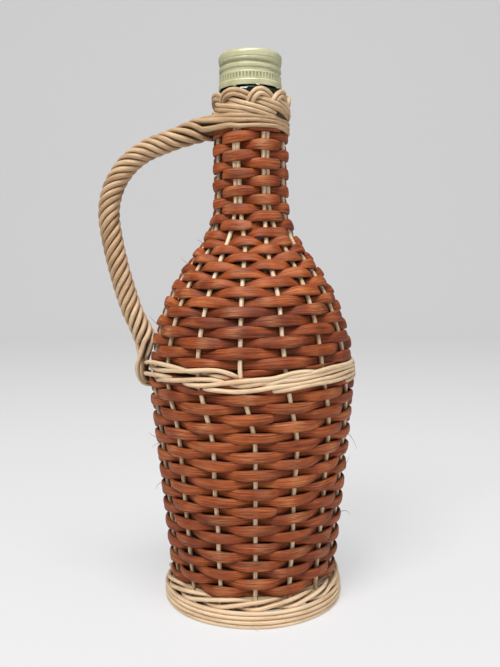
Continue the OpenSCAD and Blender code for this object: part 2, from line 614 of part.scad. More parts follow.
module handle_strand(i) {
    sgn = i < 3 ? -1 : 1;
    level = [1, 0, -1, -1, 0, 1][i];
    bind_end = sgn > 0 ? 218 : 134;
    n = ceil((bind_end - 45) / 14);
    neck = [for (k = [n:-1:0]) let (b = 45 + (bind_end - 45) * k / n)
        [bind_point(sgn, b, level), outwards(handle_az + sgn * b), bind_share]];
    rope = [for (k = [0:strand_rings]) let (p = rope_point(i, k / strand_rings)) [p[0], p[1], 1]];
    foot_a = (30 + 60 * (i + round(6 * lay_turns))) % 360;
    place = [-1.5, -2.5, -0.5, 0.5, 2.5, 1.5][(foot_a - 30) / 60] * hook_step;
    foot = [for (q = [[hook_r + 0.3, 4.6], [hook_r, 1], [hook_r, -2.6], [hook_r - 0.9, -6.2]])
        [at(handle_az, q[0], hook_z + q[1]) + place * sideways(handle_az), outwards(handle_az), 1]];
    marked_cane(concat(neck, rope, foot), round_sec(strand_d, stake_sides), cream);
}

glass_bottle();
screw_cap();
cap_liner();
for (i = [1:8]) stake_cane(i - 1);
base_weaver();
foot_rim();
foot_winding();
for (i = [1:3]) foot_wale(i - 1);
for (i = [1:3]) wall_weaver(i - 1);
for (i = [1:4]) waist_rod(i - 1);
for (i = [1:2]) shoulder_weaver(i - 1);
neck_weaver();
handle_core();
for (i = [1:6]) handle_strand(i - 1);
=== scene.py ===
"""Looks for a glass bottle covered in woven cane: every cane is a section carried along the line it really takes.

Lengths inside the making functions are in millimetres and azimuths in degrees from the front (-Y) towards +X;
`skin` turns millimetres into metres when it fills a mesh.
"""

import bpy
import numpy as np
from mathutils import Matrix


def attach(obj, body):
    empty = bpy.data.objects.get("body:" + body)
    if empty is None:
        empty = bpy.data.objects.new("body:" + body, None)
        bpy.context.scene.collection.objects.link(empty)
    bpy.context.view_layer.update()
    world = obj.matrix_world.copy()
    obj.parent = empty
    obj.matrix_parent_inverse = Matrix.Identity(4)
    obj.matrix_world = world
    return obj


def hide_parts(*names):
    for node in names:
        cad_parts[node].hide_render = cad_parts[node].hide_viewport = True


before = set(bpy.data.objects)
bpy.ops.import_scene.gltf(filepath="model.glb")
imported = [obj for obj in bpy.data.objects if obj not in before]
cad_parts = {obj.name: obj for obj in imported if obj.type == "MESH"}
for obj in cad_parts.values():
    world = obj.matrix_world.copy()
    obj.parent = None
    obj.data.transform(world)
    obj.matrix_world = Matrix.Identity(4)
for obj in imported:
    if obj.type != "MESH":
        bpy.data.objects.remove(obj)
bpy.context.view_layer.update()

# ---------------------------------------------------------------- sizes shared with the solids
WAIST_R, WAIST_Z, WALL_LEAN = 45.5, 103.0, 5.85
SHOULDER_ROUND, SHOULDER_LEAN, THROAT_ROUND = 92.0, 36.0, 47.0
NECK_R, BORE_R, GLASS_T, BOTTOM_T = 12.7, 9.25, 3.2, 5.0
HEEL_ROUND, PUNT_DEPTH, RIM_Z = 8.0, 7.0, 271.7
FINISH_R, BEAD_R = 14.5, 15.5
CAP_R, CAP_H, CAP_WALL, CAP_TOP = 15.75, 17.6, 0.35, 273.75
STAKE_D, ROD_D, LAY_GAP = 2.0, 2.1, 0.2
WEAVER_T = 1.5
WALL_PITCH, SHOULDER_PITCH, NECK_PITCH = 4.44, 4.75, 4.35
BASE_Z, FOOT_R, FOOT_ROD_D = 3.6, 42.0, 2.0
STAKES, STEP = 15, 24.0
WALL_AZ, WAIST_TURN, TURN_FROM, TURN_TO = 1.5, -8.0, -18.0, 22.0

STAKE_OFF = 2 * LAY_GAP + ROD_D + STAKE_D / 2
SWING = STAKE_D / 2 + LAY_GAP + WEAVER_T / 2
ROD_SWING = STAKE_D / 2 + LAY_GAP + ROD_D / 2


def sin(a):
    return np.sin(np.radians(a))


def cos(a):
    return np.cos(np.radians(a))


SHOULDER_R0 = WAIST_R - SHOULDER_ROUND * cos(WALL_LEAN)
SHOULDER_Z0 = WAIST_Z + SHOULDER_ROUND * sin(WALL_LEAN)
SLOPE_LEN = (SHOULDER_R0 + (SHOULDER_ROUND + THROAT_ROUND) * cos(SHOULDER_LEAN) - THROAT_ROUND - NECK_R) \
    / sin(SHOULDER_LEAN)
THROAT_R0 = NECK_R + THROAT_ROUND
THROAT_Z0 = SHOULDER_Z0 + (SHOULDER_ROUND + THROAT_ROUND) * sin(SHOULDER_LEAN) + SLOPE_LEN * cos(SHOULDER_LEAN)
SHOULDER_LEN = (SHOULDER_ROUND + STAKE_OFF) * np.radians(SHOULDER_LEAN + WALL_LEAN)
THROAT_LEN = (THROAT_ROUND - STAKE_OFF) * np.radians(SHOULDER_LEAN)
NECK_S = SHOULDER_LEN + SLOPE_LEN + THROAT_LEN


# ---------------------------------------------------------------- lines and frames
def side(s, off):
    """Radius, height and inward lean of the bottle's side at a way up s, off millimetres outside the glass.

    A straight leaning wall, then a circle bulging out, a straight slope, a circle hollowed in and the neck.
    """
    s, off = np.broadcast_arrays(np.asarray(s, float), np.asarray(off, float))
    a1 = np.degrees(s / (SHOULDER_ROUND + STAKE_OFF)) - WALL_LEAN
    d2 = s - SHOULDER_LEN
    a3 = np.degrees((NECK_S - s) / (THROAT_ROUND - STAKE_OFF))
    zones = [s < 0, s < SHOULDER_LEN, s < SHOULDER_LEN + SLOPE_LEN, s < NECK_S]
    r = np.select(zones, [
        WAIST_R + off * cos(WALL_LEAN) + s * sin(WALL_LEAN),
        SHOULDER_R0 + (SHOULDER_ROUND + off) * cos(a1),
        SHOULDER_R0 + (SHOULDER_ROUND + off) * cos(SHOULDER_LEAN) - d2 * sin(SHOULDER_LEAN),
        THROAT_R0 - (THROAT_ROUND - off) * cos(a3)], NECK_R + off)
    z = np.select(zones, [
        WAIST_Z - off * sin(WALL_LEAN) + s * cos(WALL_LEAN),
        SHOULDER_Z0 + (SHOULDER_ROUND + off) * sin(a1),
        SHOULDER_Z0 + (SHOULDER_ROUND + off) * sin(SHOULDER_LEAN) + d2 * cos(SHOULDER_LEAN),
        THROAT_Z0 - (THROAT_ROUND - off) * sin(a3)], THROAT_Z0 + s - NECK_S)
    lean = np.select(zones, [np.full_like(s, -WALL_LEAN), a1, np.full_like(s, SHOULDER_LEAN), a3], 0.0)
    return r, z, lean


def wall_s(z):
    return (z - WAIST_Z + STAKE_OFF * sin(WALL_LEAN)) / cos(WALL_LEAN)


def at(az, r, z):
    """Points from azimuths, radii and heights."""
    az, r, z = np.broadcast_arrays(np.asarray(az, float), np.asarray(r, float), np.asarray(z, float))
    return np.stack([r * sin(az), -r * cos(az), z], -1)


def outwards(az, lean=0.0):
    """Unit vectors away from the axis, tipped up by the lean."""
    az, lean = np.broadcast_arrays(np.asarray(az, float), np.asarray(lean, float))
    return np.stack([cos(lean) * sin(az), -cos(lean) * cos(az), sin(lean)], -1)


def unit(v):
    return v / np.maximum(np.linalg.norm(v, axis=-1, keepdims=True), 1e-9)


def smooth(t):
    t = np.clip(t, 0, 1)
    return t * t * (3 - 2 * t)


def drift(x, seed, length):
    """A slow wander between about -1 and 1: five sines of x with fixed random lengths and starts."""
    rng = np.random.RandomState(seed)
    k = rng.uniform(0.5, 2.2, 5) / length
    start = rng.uniform(0, 1, 5)
    return np.sin(2 * np.pi * (np.asarray(x, float)[..., None] * k + start)).sum(-1) / 2.6


def hermite(knots, values, x, level=False):
    """Cubic through values at knots; level holds the slope at zero wherever the values turn back."""
    h = np.diff(knots)
    d = np.diff(values, axis=0) / (h[:, None] if values.ndim > 1 else h)
    if level:
        turn = d[:-1] * d[1:] <= 0
        inner = np.where(turn, 0.0, 2 * d[:-1] * d[1:] / np.where(turn, 1.0, d[:-1] + d[1:]))
    else:
        w = h[1:] / (h[1:] + h[:-1])
        w = w[:, None] if values.ndim > 1 else w
        inner = d[:-1] * w + d[1:] * (1 - w)
    m = np.concatenate([d[:1], inner, d[-1:]])
    i = np.clip(np.searchsorted(knots, x, side="right") - 1, 0, len(h) - 1)
    t = (x - knots[i]) / h[i]
    hi = h[i]
    if values.ndim > 1:
        t, hi = t[:, None], hi[:, None]
    return ((2 * t ** 3 - 3 * t ** 2 + 1) * values[i] + (t ** 3 - 2 * t ** 2 + t) * hi * m[i]
            + (3 * t ** 2 - 2 * t ** 3) * values[i + 1] + (t ** 3 - t ** 2) * hi * m[i + 1])


def flow(points, outs, step):
    """A smooth line through points, cut into even steps, with the directions outwards carried along it."""
    points, outs = np.asarray(points, float), np.asarray(outs, float)
    knots = np.r_[0, np.cumsum(np.sqrt(np.linalg.norm(np.diff(points, axis=0), axis=1)) + 1e-6)]
    fine = np.linspace(0, knots[-1], len(points) * 24)
    line = hermite(knots, points, fine)
    length = np.r_[0, np.cumsum(np.linalg.norm(np.diff(line, axis=0), axis=1))]
    even = np.linspace(0, length[-1], max(8, int(length[-1] / step)))
    line = np.stack([np.interp(even, length, line[:, k]) for k in range(3)], -1)
    knot_length = np.interp(knots, fine, length)
    out = np.stack([np.interp(even, knot_length, outs[:, k]) for k in range(3)], -1)
    return line, unit(out)


# ---------------------------------------------------------------- meshes
def fill(name, verts, loops, starts, uvs, floats=None):
    """Puts points (mm), corner indices, face starts, corner UVs and point values into a new smooth mesh object."""
    mesh = bpy.data.meshes.new(name)
    mesh.vertices.add(len(verts))
    mesh.vertices.foreach_set("co", (np.asarray(verts) / 1000).astype(np.float32).ravel())
    mesh.loops.add(len(loops))
    mesh.loops.foreach_set("vertex_index", loops.astype(np.int32))
    mesh.polygons.add(len(starts))
    mesh.polygons.foreach_set("loop_start", starts.astype(np.int32))
    mesh.update(calc_edges=True)
    mesh.polygons.foreach_set("use_smooth", np.ones(len(starts), bool))
    mesh.uv_layers.new(name="UVMap").data.foreach_set("uv", uvs.astype(np.float32).ravel())
    for key, values in (floats or {}).items():
        mesh.attributes.new(key, "FLOAT", "POINT").data.foreach_set("value", values.astype(np.float32))
    mesh.validate()
    mesh.update()
    obj = bpy.data.objects.new(name, mesh)
    bpy.context.scene.collection.objects.link(obj)
    return obj


def grid_faces(rows, cols, closed):
    """Corner indices of the quads of a grid with its points row by row, and each corner's row and column."""
    i, k = np.meshgrid(np.arange(rows - 1), np.arange(cols if closed else cols - 1), indexing="ij")
    ci = np.stack([i, i + 1, i + 1, i], -1).reshape(-1, 4)
    ck = np.stack([k, k, k + 1, k + 1], -1).reshape(-1, 4)
    return ci * cols + ck % cols, ci, ck


def volume(verts, quads):
    a, b, c, d = (verts[quads[:, n]] for n in range(4))
    return (np.einsum("ij,ij->i", a, np.cross(b, c)) + np.einsum("ij,ij->i", a, np.cross(c, d))).sum()


def skin(name, grid, floats=None, scale=None):
    """A closed skin from a grid of rings (rings, points round, 3): quads between rings and a fan on each end.

    UV is centimetres along and round; scale overrides the distances along with given ones.
    """
    rings, around = grid.shape[:2]
    mid = grid.mean(1)
    along = np.r_[0, np.cumsum(np.linalg.norm(np.diff(mid, axis=0), axis=1))] if scale is None else scale
    girth = np.linalg.norm(np.diff(np.concatenate([grid, grid[:, :1]], 1), axis=1), axis=2).mean(0)
    round_ = np.r_[0, np.cumsum(girth)]
    verts = np.concatenate([grid.reshape(-1, 3), mid[:1], mid[-1:]])
    quads, ci, ck = grid_faces(rings, around, True)
    k = np.arange(around)
    first = np.stack([np.full(around, rings * around), (k + 1) % around, k], -1)[:, ::-1]
    last_ring = (rings - 1) * around
    last = np.stack([np.full(around, rings * around + 1), last_ring + k, last_ring + (k + 1) % around], -1)[:, ::-1]
    uv_quads = np.stack([along[ci], round_[ck]], -1)
    uv_first = np.stack([np.full((around, 3), along[0]), np.tile(round_[k][:, None], 3)], -1)
    uv_last = np.stack([np.full((around, 3), along[-1]), np.tile(round_[k][:, None], 3)], -1)
    if volume(verts, quads) < 0:
        quads, uv_quads = quads[:, ::-1], uv_quads[:, ::-1]
        first, last = first[:, ::-1], last[:, ::-1]
    loops = np.concatenate([quads.ravel(), first.ravel(), last.ravel()])
    starts = np.concatenate([np.arange(len(quads)) * 4, len(quads) * 4 + np.arange(2 * around) * 3])
    uvs = np.concatenate([uv_quads.reshape(-1, 2), uv_first.reshape(-1, 2), uv_last.reshape(-1, 2)]) / 10
    values = {key: np.r_[np.broadcast_to(v.reshape(rings, -1), (rings, around)).ravel(), v.ravel()[0], v.ravel()[-1]]
              for key, v in (floats or {}).items()}
    return fill(name, verts, loops, starts, uvs, values)


def turned(name, radii, heights, sides, floats=None, shift=None):
    """A body turned about the axis from a profile of radii and heights, both ends closed on the axis.

    shift(azimuth, radius, height) may return changed radii and heights on the whole grid at once.
    """
    az = np.arange(sides) * 360.0 / sides
    r, a = np.meshgrid(radii, az, indexing="ij")
    z = np.repeat(np.asarray(heights, float)[:, None], sides, 1)
    if shift is not None:
        r, z = shift(a, r, z)
    run = np.r_[0, np.cumsum(np.hypot(np.diff(radii), np.diff(heights)))]
    return skin(name, at(a, r, z), floats, scale=run)


def round_section(d, points=12, squash=1.0):
    """A circle of diameter d, its second axis outwards, squashed outwards by a share."""
    a = np.arange(points) * 2 * np.pi / points
    return np.stack([d / 2 * np.sin(a), d / 2 * squash * np.cos(a)], -1)


def split_section(width, outer, inner, points=16):
    """A split cane: a superellipse with a domed outer half and a flatter inner half."""
    a = np.arange(points) * 2 * np.pi / points + np.pi / points
    c, s = np.cos(a), np.sin(a)
    x = np.sign(c) * np.abs(c) ** 0.82 * width / 2
    y = np.where(s > 0, outer * np.abs(s) ** 0.86, -inner * np.abs(s) ** 0.6)
    return np.stack([x, y], -1)


def sweep(path, outs, section, wide=1.0, thick=1.0, bevel=0.25):
    """Rings square to a path: the section's first axis sideways, its second outwards, with bevelled cut ends."""
    t = unit(np.gradient(path, axis=0))
    b = unit(np.cross(t, outs))
    o = np.cross(b, t)
    n = len(path)
    wide = np.broadcast_to(np.asarray(wide, float), (n,)).copy()
    thick = np.broadcast_to(np.asarray(thick, float), (n,)).copy()
    pick = np.r_[0, np.arange(n), n - 1]
    path = path[pick].copy()
    path[1] += t[0] * bevel
    path[-2] -= t[-1] * bevel
    wide, thick, b, o = wide[pick], thick[pick], b[pick], o[pick]
    wide[[0, -1]] *= 0.8
    thick[[0, -1]] *= 0.8
    return (path[:, None] + section[None, :, :1] * (wide[:, None] * b)[:, None]
            + section[None, :, 1:] * (thick[:, None] * o)[:, None])


def cane(name, nodes, path, outs, section, finish, wide=1.0, thick=1.0, tone=0.0, rub=None, seed=1):
    """One cane: its section carried along its path. Tone wanders slowly along it, rub is 1 where it is worn pale.

    Crevice shade rises from 0 on the outer side to 1 towards the sides, where neighbours touch: painted shade for the
    shadow that falls there.
    """
    grid = sweep(path, outs, section, wide, thick)
    n = len(path)
    length = np.r_[0, np.cumsum(np.linalg.norm(np.diff(path, axis=0), axis=1))]
    pick = np.r_[0, np.arange(n), n - 1]
    tones = (np.asarray(tone) + 0.5 * drift(length, seed, 160) + 0.3 * drift(length, seed + 1, 35))[pick]
    rubs = (np.zeros(n) if rub is None else rub)[pick]
    # Painted shade mask: 0 on the outer side, rising towards the sides and inner face where each cane touches its
    # neighbours.
    crevice_shade = smooth((0.82 - section[:, 1] / section[:, 1].max()) / 0.9)
    obj = skin(name, grid, {"tone": tones, "rub": rubs, "crevice_shade": np.tile(crevice_shade, (n + 2, 1))})
    obj.data.materials.append(finish)
    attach(obj, "bottle")
    if nodes:
        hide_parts(*nodes)
    return obj


# ---------------------------------------------------------------- finishes
def nodes_of(material):
    material.use_nodes = True
    tree = material.node_tree
    tree.nodes.clear()
    out = tree.nodes.new("ShaderNodeOutputMaterial")
    shader = tree.nodes.new("ShaderNodeBsdfPrincipled")
    tree.links.new(shader.outputs[0], out.inputs[0])
    return tree, shader


def node(tree, kind, **values):
    """A node with its sockets or properties set by name; a value that is a socket is linked."""
    n = tree.nodes.new(kind)
    for key, value in values.items():
        if isinstance(key, str) and hasattr(n, key) and key not in n.inputs:
            setattr(n, key, value)
        elif isinstance(value, bpy.types.NodeSocket):
            tree.links.new(value, n.inputs[key])
        else:
            n.inputs[key].default_value = value
    return n


def mix(tree, share, a, b, blend="MIX"):
    n = tree.nodes.new("ShaderNodeMix")
    n.data_type = "RGBA"
    n.blend_type = blend
    for index, value in ((0, share), (6, a), (7, b)):
        if isinstance(value, bpy.types.NodeSocket):
            tree.links.new(value, n.inputs[index])
        else:
            n.inputs[index].default_value = value
    return n.outputs[2]


def calc(tree, op, a, b=0.0, clamp=False):
    n = tree.nodes.new("ShaderNodeMath")
    n.operation = op
    n.use_clamp = clamp
    for index, value in ((0, a), (1, b)):
        if isinstance(value, bpy.types.NodeSocket):
            tree.links.new(value, n.inputs[index])
        else:
            n.inputs[index].default_value = value
    return n.outputs[0]


def ramp(tree, fac, stops):
    n = tree.nodes.new("ShaderNodeValToRGB")
    tree.links.new(fac, n.inputs[0])
    while len(n.color_ramp.elements) < len(stops):
        n.color_ramp.elements.new(0.5)
    for element, (pos, colour) in zip(n.color_ramp.elements, stops):
        element.position = pos
        element.color = (*colour, 1)
    return n.outputs[0]


def linear(r, g, b):
    """Linear colour from 8-bit display values."""
    c = np.array([r, g, b]) / 255
    return tuple(float(v) for v in np.where(c <= 0.04045, c / 12.92, ((c + 0.055) / 1.055) ** 2.4))


def cane_finish(name, deep, low, mid, high, pale, rough, grain, fleck, painted_shade_share):
    """Cane in four shades from deep to high, streaked along its length on the UV map, with pale rubbed places and
    painted shade towards the sides where canes touch.
    """
    material = bpy.data.materials.new(name)
    tree, shader = nodes_of(material)
    uv = node(tree, "ShaderNodeUVMap", uv_map="UVMap").outputs[0]
    tone = node(tree, "ShaderNodeAttribute", attribute_name="tone").outputs["Fac"]
    rub = node(tree, "ShaderNodeAttribute", attribute_name="rub").outputs["Fac"]

    def streaks(u, v, detail):
        lay = node(tree, "ShaderNodeMapping", Vector=uv, Scale=(u, v, 1)).outputs[0]
        return node(tree, "ShaderNodeTexNoise", Vector=lay, Scale=1.0, Detail=detail, Roughness=0.6).outputs["Fac"]

    fibre = streaks(0.35, 26 * grain, 3)
    hair = streaks(1.1, 70 * grain, 2)
    blotch = streaks(0.9, 2.2, 3)
    speck = streaks(6.0, 22, 2)
    level = calc(tree, "ADD", calc(tree, "MULTIPLY", fibre, 1.0), calc(tree, "MULTIPLY", hair, 0.5))
    level = calc(tree, "ADD", level, calc(tree, "MULTIPLY", blotch, 0.55))
    level = calc(tree, "ADD", level, calc(tree, "MULTIPLY", tone, 0.10))
    level = calc(tree, "SUBTRACT", level, 0.52, clamp=True)
    colour = ramp(tree, level, [(0.12, deep), (0.36, low), (0.55, mid), (0.85, high)])
    flecks = ramp(tree, speck, [(0.30, (1, 1, 1)), (0.36, (0, 0, 0))])
    colour = mix(tree, calc(tree, "MULTIPLY", flecks, fleck), colour, (*deep, 1))
    # Painted shade: the colour is mixed towards the deepest colour along the sides where canes touch and shadow falls.
    crevice_shade = node(tree, "ShaderNodeAttribute", attribute_name="crevice_shade").outputs["Fac"]
    colour = mix(tree, calc(tree, "MULTIPLY", crevice_shade, painted_shade_share), colour, (*deep, 1))
    worn = calc(tree, "MULTIPLY", rub, ramp(tree, hair, [(0.45, (0, 0, 0)), (0.62, (1, 1, 1))]))
    colour = mix(tree, calc(tree, "MULTIPLY", worn, 0.55), colour, (*pale, 1))
    tree.links.new(colour, shader.inputs["Base Color"])
    gloss = calc(tree, "ADD", calc(tree, "MULTIPLY", fibre, 0.25), rough - 0.12)
    tree.links.new(gloss, shader.inputs["Roughness"])
    height = calc(tree, "ADD", calc(tree, "MULTIPLY", fibre, 0.7), calc(tree, "MULTIPLY", hair, 0.3))
    bump = node(tree, "ShaderNodeBump", Strength=0.75, Distance=0.00028, Height=height).outputs[0]
    tree.links.new(bump, shader.inputs["Normal"])
    shader.inputs["Specular IOR Level"].default_value = 0.3
    return material


def glass_finish():
    """Near-black green glass: light is tinted at each face, and faint dust lies on it."""
    material = bpy.data.materials.new("dark_green_glass")
    tree, shader = nodes_of(material)
    where = node(tree, "ShaderNodeTexCoord").outputs["Object"]
    dust = node(tree, "ShaderNodeTexNoise", Vector=where, Scale=420.0, Detail=4.0).outputs["Fac"]
    tree.links.new(ramp(tree, dust, [(0.3, (0.004, 0.009, 0.005)), (0.8, (0.010, 0.018, 0.011))]),
                   shader.inputs["Base Color"])
    up = node(tree, "ShaderNodeSeparateXYZ", Vector=where).outputs["Z"]
    covered = calc(tree, "LESS_THAN", up, 0.238)
    rough = calc(tree, "ADD", calc(tree, "MULTIPLY", dust, 0.10), calc(tree, "MULTIPLY", covered, 0.5))
    tree.links.new(rough, shader.inputs["Roughness"])
    shader.inputs["IOR"].default_value = 1.52
    shader.inputs["Transmission Weight"].default_value = 0.3
    return material


def enamel_finish():
    """Pale green enamel on thin metal: soft mottling, painted shade in the grooves and pressed flutes, rubbed and dirty
    edges.
    """
    material = bpy.data.materials.new("cap_enamel")
    tree, shader = nodes_of(material)
    where = node(tree, "ShaderNodeTexCoord").outputs["Object"]
    groove = node(tree, "ShaderNodeAttribute", attribute_name="groove").outputs["Fac"]
    edge = node(tree, "ShaderNodeAttribute", attribute_name="edge").outputs["Fac"]
    cloud = node(tree, "ShaderNodeTexNoise", Vector=where, Scale=160.0, Detail=5.0).outputs["Fac"]
    fine = node(tree, "ShaderNodeTexNoise", Vector=where, Scale=1800.0, Detail=3.0).outputs["Fac"]
    colour = ramp(tree, cloud, [(0.3, linear(176, 176, 136)), (0.7, linear(192, 191, 153))])
    # Painted shade: the rolled grooves and the pressed flutes are mixed towards a dark green, for the shadow that falls
    # in them.
    colour = mix(tree, calc(tree, "MULTIPLY", groove, 0.85), colour, (*linear(120, 122, 82), 1))
    nick = calc(tree, "MULTIPLY", edge, ramp(tree, fine, [(0.56, (0, 0, 0)), (0.66, (1, 1, 1))]))
    colour = mix(tree, calc(tree, "MULTIPLY", nick, 0.5), colour, (*linear(236, 232, 205), 1))
    tree.links.new(colour, shader.inputs["Base Color"])
    tree.links.new(calc(tree, "ADD", calc(tree, "MULTIPLY", cloud, 0.2), 0.26), shader.inputs["Roughness"])
    bump = node(tree, "ShaderNodeBump", Strength=0.25, Distance=0.00006, Height=fine).outputs[0]
    tree.links.new(bump, shader.inputs["Normal"])
    shader.inputs["Coat Weight"].default_value = 0.6
    shader.inputs["Coat Roughness"].default_value = 0.22
    return material


def liner_finish():
    """White foamed plastic with a faint ring of fine pits."""
    material = bpy.data.materials.new("sealing_liner")
    tree, shader = nodes_of(material)
    where = node(tree, "ShaderNodeTexCoord").outputs["Object"]
    pits = node(tree, "ShaderNodeTexNoise", Vector=where, Scale=1500.0, Detail=3.0).outputs["Fac"]
    tree.links.new(ramp(tree, pits, [(0.3, linear(222, 222, 214)), (0.7, linear(240, 240, 234))]),
                   shader.inputs["Base Color"])
    bump = node(tree, "ShaderNodeBump", Strength=0.3, Distance=0.00005, Height=pits).outputs[0]
    tree.links.new(bump, shader.inputs["Normal"])
    shader.inputs["Roughness"].default_value = 0.6
    return material


# The last share of each finish sets how strongly painted shade darkens the sides where canes touch.
brown_cane = cane_finish("brown_cane", deep=linear(62, 24, 12), low=linear(106, 45, 20), mid=linear(144, 66, 24),
                         high=linear(194, 112, 60), pale=linear(216, 158, 110), rough=0.56, grain=0.62, fleck=0.4, painted_shade_share=0.6)
stake_finish = cane_finish("stake_cane", deep=linear(130, 98, 68), low=linear(194, 162, 124), mid=linear(226, 200, 166),
                           high=linear(240, 218, 186), pale=linear(246, 234, 212), rough=0.5, grain=1.0, fleck=0.55, painted_shade_share=0.35)
rod_finish = cane_finish("cream_cane", deep=linear(136, 104, 72), low=linear(206, 174, 138), mid=linear(226, 197, 162),
                         high=linear(238, 214, 182), pale=linear(246, 230, 204), rough=0.48, grain=0.8, fleck=0.5, painted_shade_share=0.6)
plait_finish = cane_finish("plait_cane", deep=linear(92, 66, 40), low=linear(166, 132, 96), mid=linear(196, 164, 128),
                           high=linear(224, 196, 162), pale=linear(238, 216, 188), rough=0.48, grain=0.8, fleck=0.6, painted_shade_share=0.8)

# ---------------------------------------------------------------- places of stakes
PLACE = [0, 1, 1, 2, 2, 3, 4, 5, 6, 6, 7, 7, 8, 8, 0]
PLACE_SIDE = [1, -1, 1, -1, 1, 0, 0, 0, -1, 1, -1, 1, -1, 1, -1]
NECK_AZ = [-23, 27, 80, 114, 148, 182, 215, 249, 284]
COLLAR_AZ = [-2, 36, 78, 118, 155, 192, 230, 268, 309]
GATHER_FROM, GATHER_TO = SHOULDER_LEN + SLOPE_LEN - 3, NECK_S
PAIR_STEP = STAKE_D + LAY_GAP


def place_az(c):
    c = np.asarray(c)
    return np.asarray(NECK_AZ)[c % 9] + 360.0 * (c // 9)


def stake_az(j, s):
    """Azimuth of stake j at a way up s: an even spacing, turned a little at the waist and gathered on the neck."""
    j, s = np.broadcast_arrays(np.asarray(j), np.asarray(s, float))
    k, turns = j % STAKES, j // STAKES
    own = WALL_AZ + STEP * k + WAIST_TURN * smooth((s - TURN_FROM) / (TURN_TO - TURN_FROM))
    end = np.asarray(NECK_AZ)[np.asarray(PLACE)[k]] + np.where(k == STAKES - 1, 360.0, 0)
    w = smooth((s - GATHER_FROM) / (GATHER_TO - GATHER_FROM))
    r = side(s, STAKE_OFF)[0]
    return own * (1 - w) + w * (end + np.asarray(PLACE_SIDE)[k] * PAIR_STEP / 2 / r * 180 / np.pi) + 360.0 * turns


# ---------------------------------------------------------------- glass
GLASS_Z = BASE_Z + SWING + WEAVER_T / 2 + 0.35


def heel(z, off, r, n=10):
    """Quarter round between the bottom at z and the wall, off outside the glass, of radius r."""
    s = (z + r - WAIST_Z + (off - r) * sin(WALL_LEAN)) / cos(WALL_LEAN)
    cr, cz, _ = side(s, off - r)
    a = np.linspace(-90, -WALL_LEAN, n)
    return cr + r * cos(a), cz + r * sin(a), s


def make_glass():
    """The bottle turned from one closed profile: outside from the dish to the rim, then inside back to the punt."""
    hr, hz, hs = heel(GLASS_Z, 0, HEEL_ROUND)
    s = np.linspace(hs + 3, NECK_S, 70)
    wr, wz, _ = side(s, 0)
    bead = RIM_Z - 26.5
    nr = [NECK_R, NECK_R + 0.5, BEAD_R - 0.5, BEAD_R, BEAD_R, BEAD_R - 0.3, FINISH_R, FINISH_R, FINISH_R - 0.3,
          FINISH_R - 1.2, BORE_R + 0.8, BORE_R + 0.15, BORE_R]
    nz = [bead - 0.6, bead + 0.2, bead + 2.6, bead + 3.4, bead + 9.6, bead + 10.2, bead + 11.4, RIM_Z - 1.2,
          RIM_Z - 0.4, RIM_Z, RIM_Z, RIM_Z - 0.3, RIM_Z - 1]
    dish = (PUNT_DEPTH ** 2 + (WAIST_R * 0.55) ** 2) / (2 * PUNT_DEPTH)
    a = np.linspace(0.001, np.degrees(np.arcsin(WAIST_R * 0.55 / dish)), 14)
    dr, dz = dish * sin(a), GLASS_Z + PUNT_DEPTH - dish + dish * cos(a)
    ir, iz, is_ = heel(GLASS_Z + BOTTOM_T, -GLASS_T, HEEL_ROUND - GLASS_T)
    si = np.linspace(is_ + 3, SHOULDER_LEN + SLOPE_LEN, 50)
    ur, uz, _ = side(si, -GLASS_T)
    st = np.linspace(SHOULDER_LEN + SLOPE_LEN + 2, NECK_S, 16)
    tr, tz, _ = side(st, BORE_R - NECK_R)
    r = np.concatenate([dr, hr, wr, nr, tr[::-1], ur[::-1], ir[::-1], dr[::-1]])
    z = np.concatenate([dz, hz, wz, nz, tz[::-1], uz[::-1], iz[::-1], dz[::-1] + BOTTOM_T])
    obj = turned("bottle_glass", r, z, 160)
    obj.data.materials.append(glass_finish())
    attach(obj, "bottle")
    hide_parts("glass_bottle")


# ---------------------------------------------------------------- cap
FLUTES = 56
CAP_Z = CAP_TOP - CAP_H


def pit(x, width):
    """A smooth hollow: 1 at the middle, 0 beyond the width."""
    return smooth(1 - np.abs(x) / width)


def thread_level(az):
    """Height of the rolled groove over its first turn: nearly level in front, climbing a whole pitch behind."""
    a = (np.asarray(az) + 90) % 360 - 90
    front = 7.75 - 0.35 * sin(a)
    return np.where(a <= 90, front, 7.4 + 4.1 * smooth((a - 90) / 180))


def cap_shift(az, r, z):
    """Presses the wall of the cap: flutes on the lower band, a groove rolled into the glass thread, a fine line."""
    h = z - CAP_Z
    outer = (r > CAP_R - 1.2) & (h > -1)
    wave = 0.5 + 0.5 * np.cos(np.radians(az) * FLUTES)
    flute = 0.36 * smooth((wave - 0.35) / 0.5) * smooth((h - 2.75) / 0.35) * smooth((6.05 - h) / 0.35)
    level = thread_level(az)
    fade = smooth((az - 0) / 0.1) * 0 + 1
    groove = 0.85 * (pit(h - level, 1.35) + pit(h - level - 3.6 - 0.5 * smooth((((az + 90) % 360) - 180) / 150), 1.25)) * fade
    groove = np.where(h > 12.6, 0, groove)
    line = 0.3 * pit(h - 13.4, 0.6)
    crimp = 0.10 * np.sin(np.radians(az) * 7 + 1.0) * smooth((1.2 - h) / 1.2)
    press = np.where(outer, flute + np.minimum(groove, 0.75) + line + crimp * 0.5, 0)
    return r - press, z


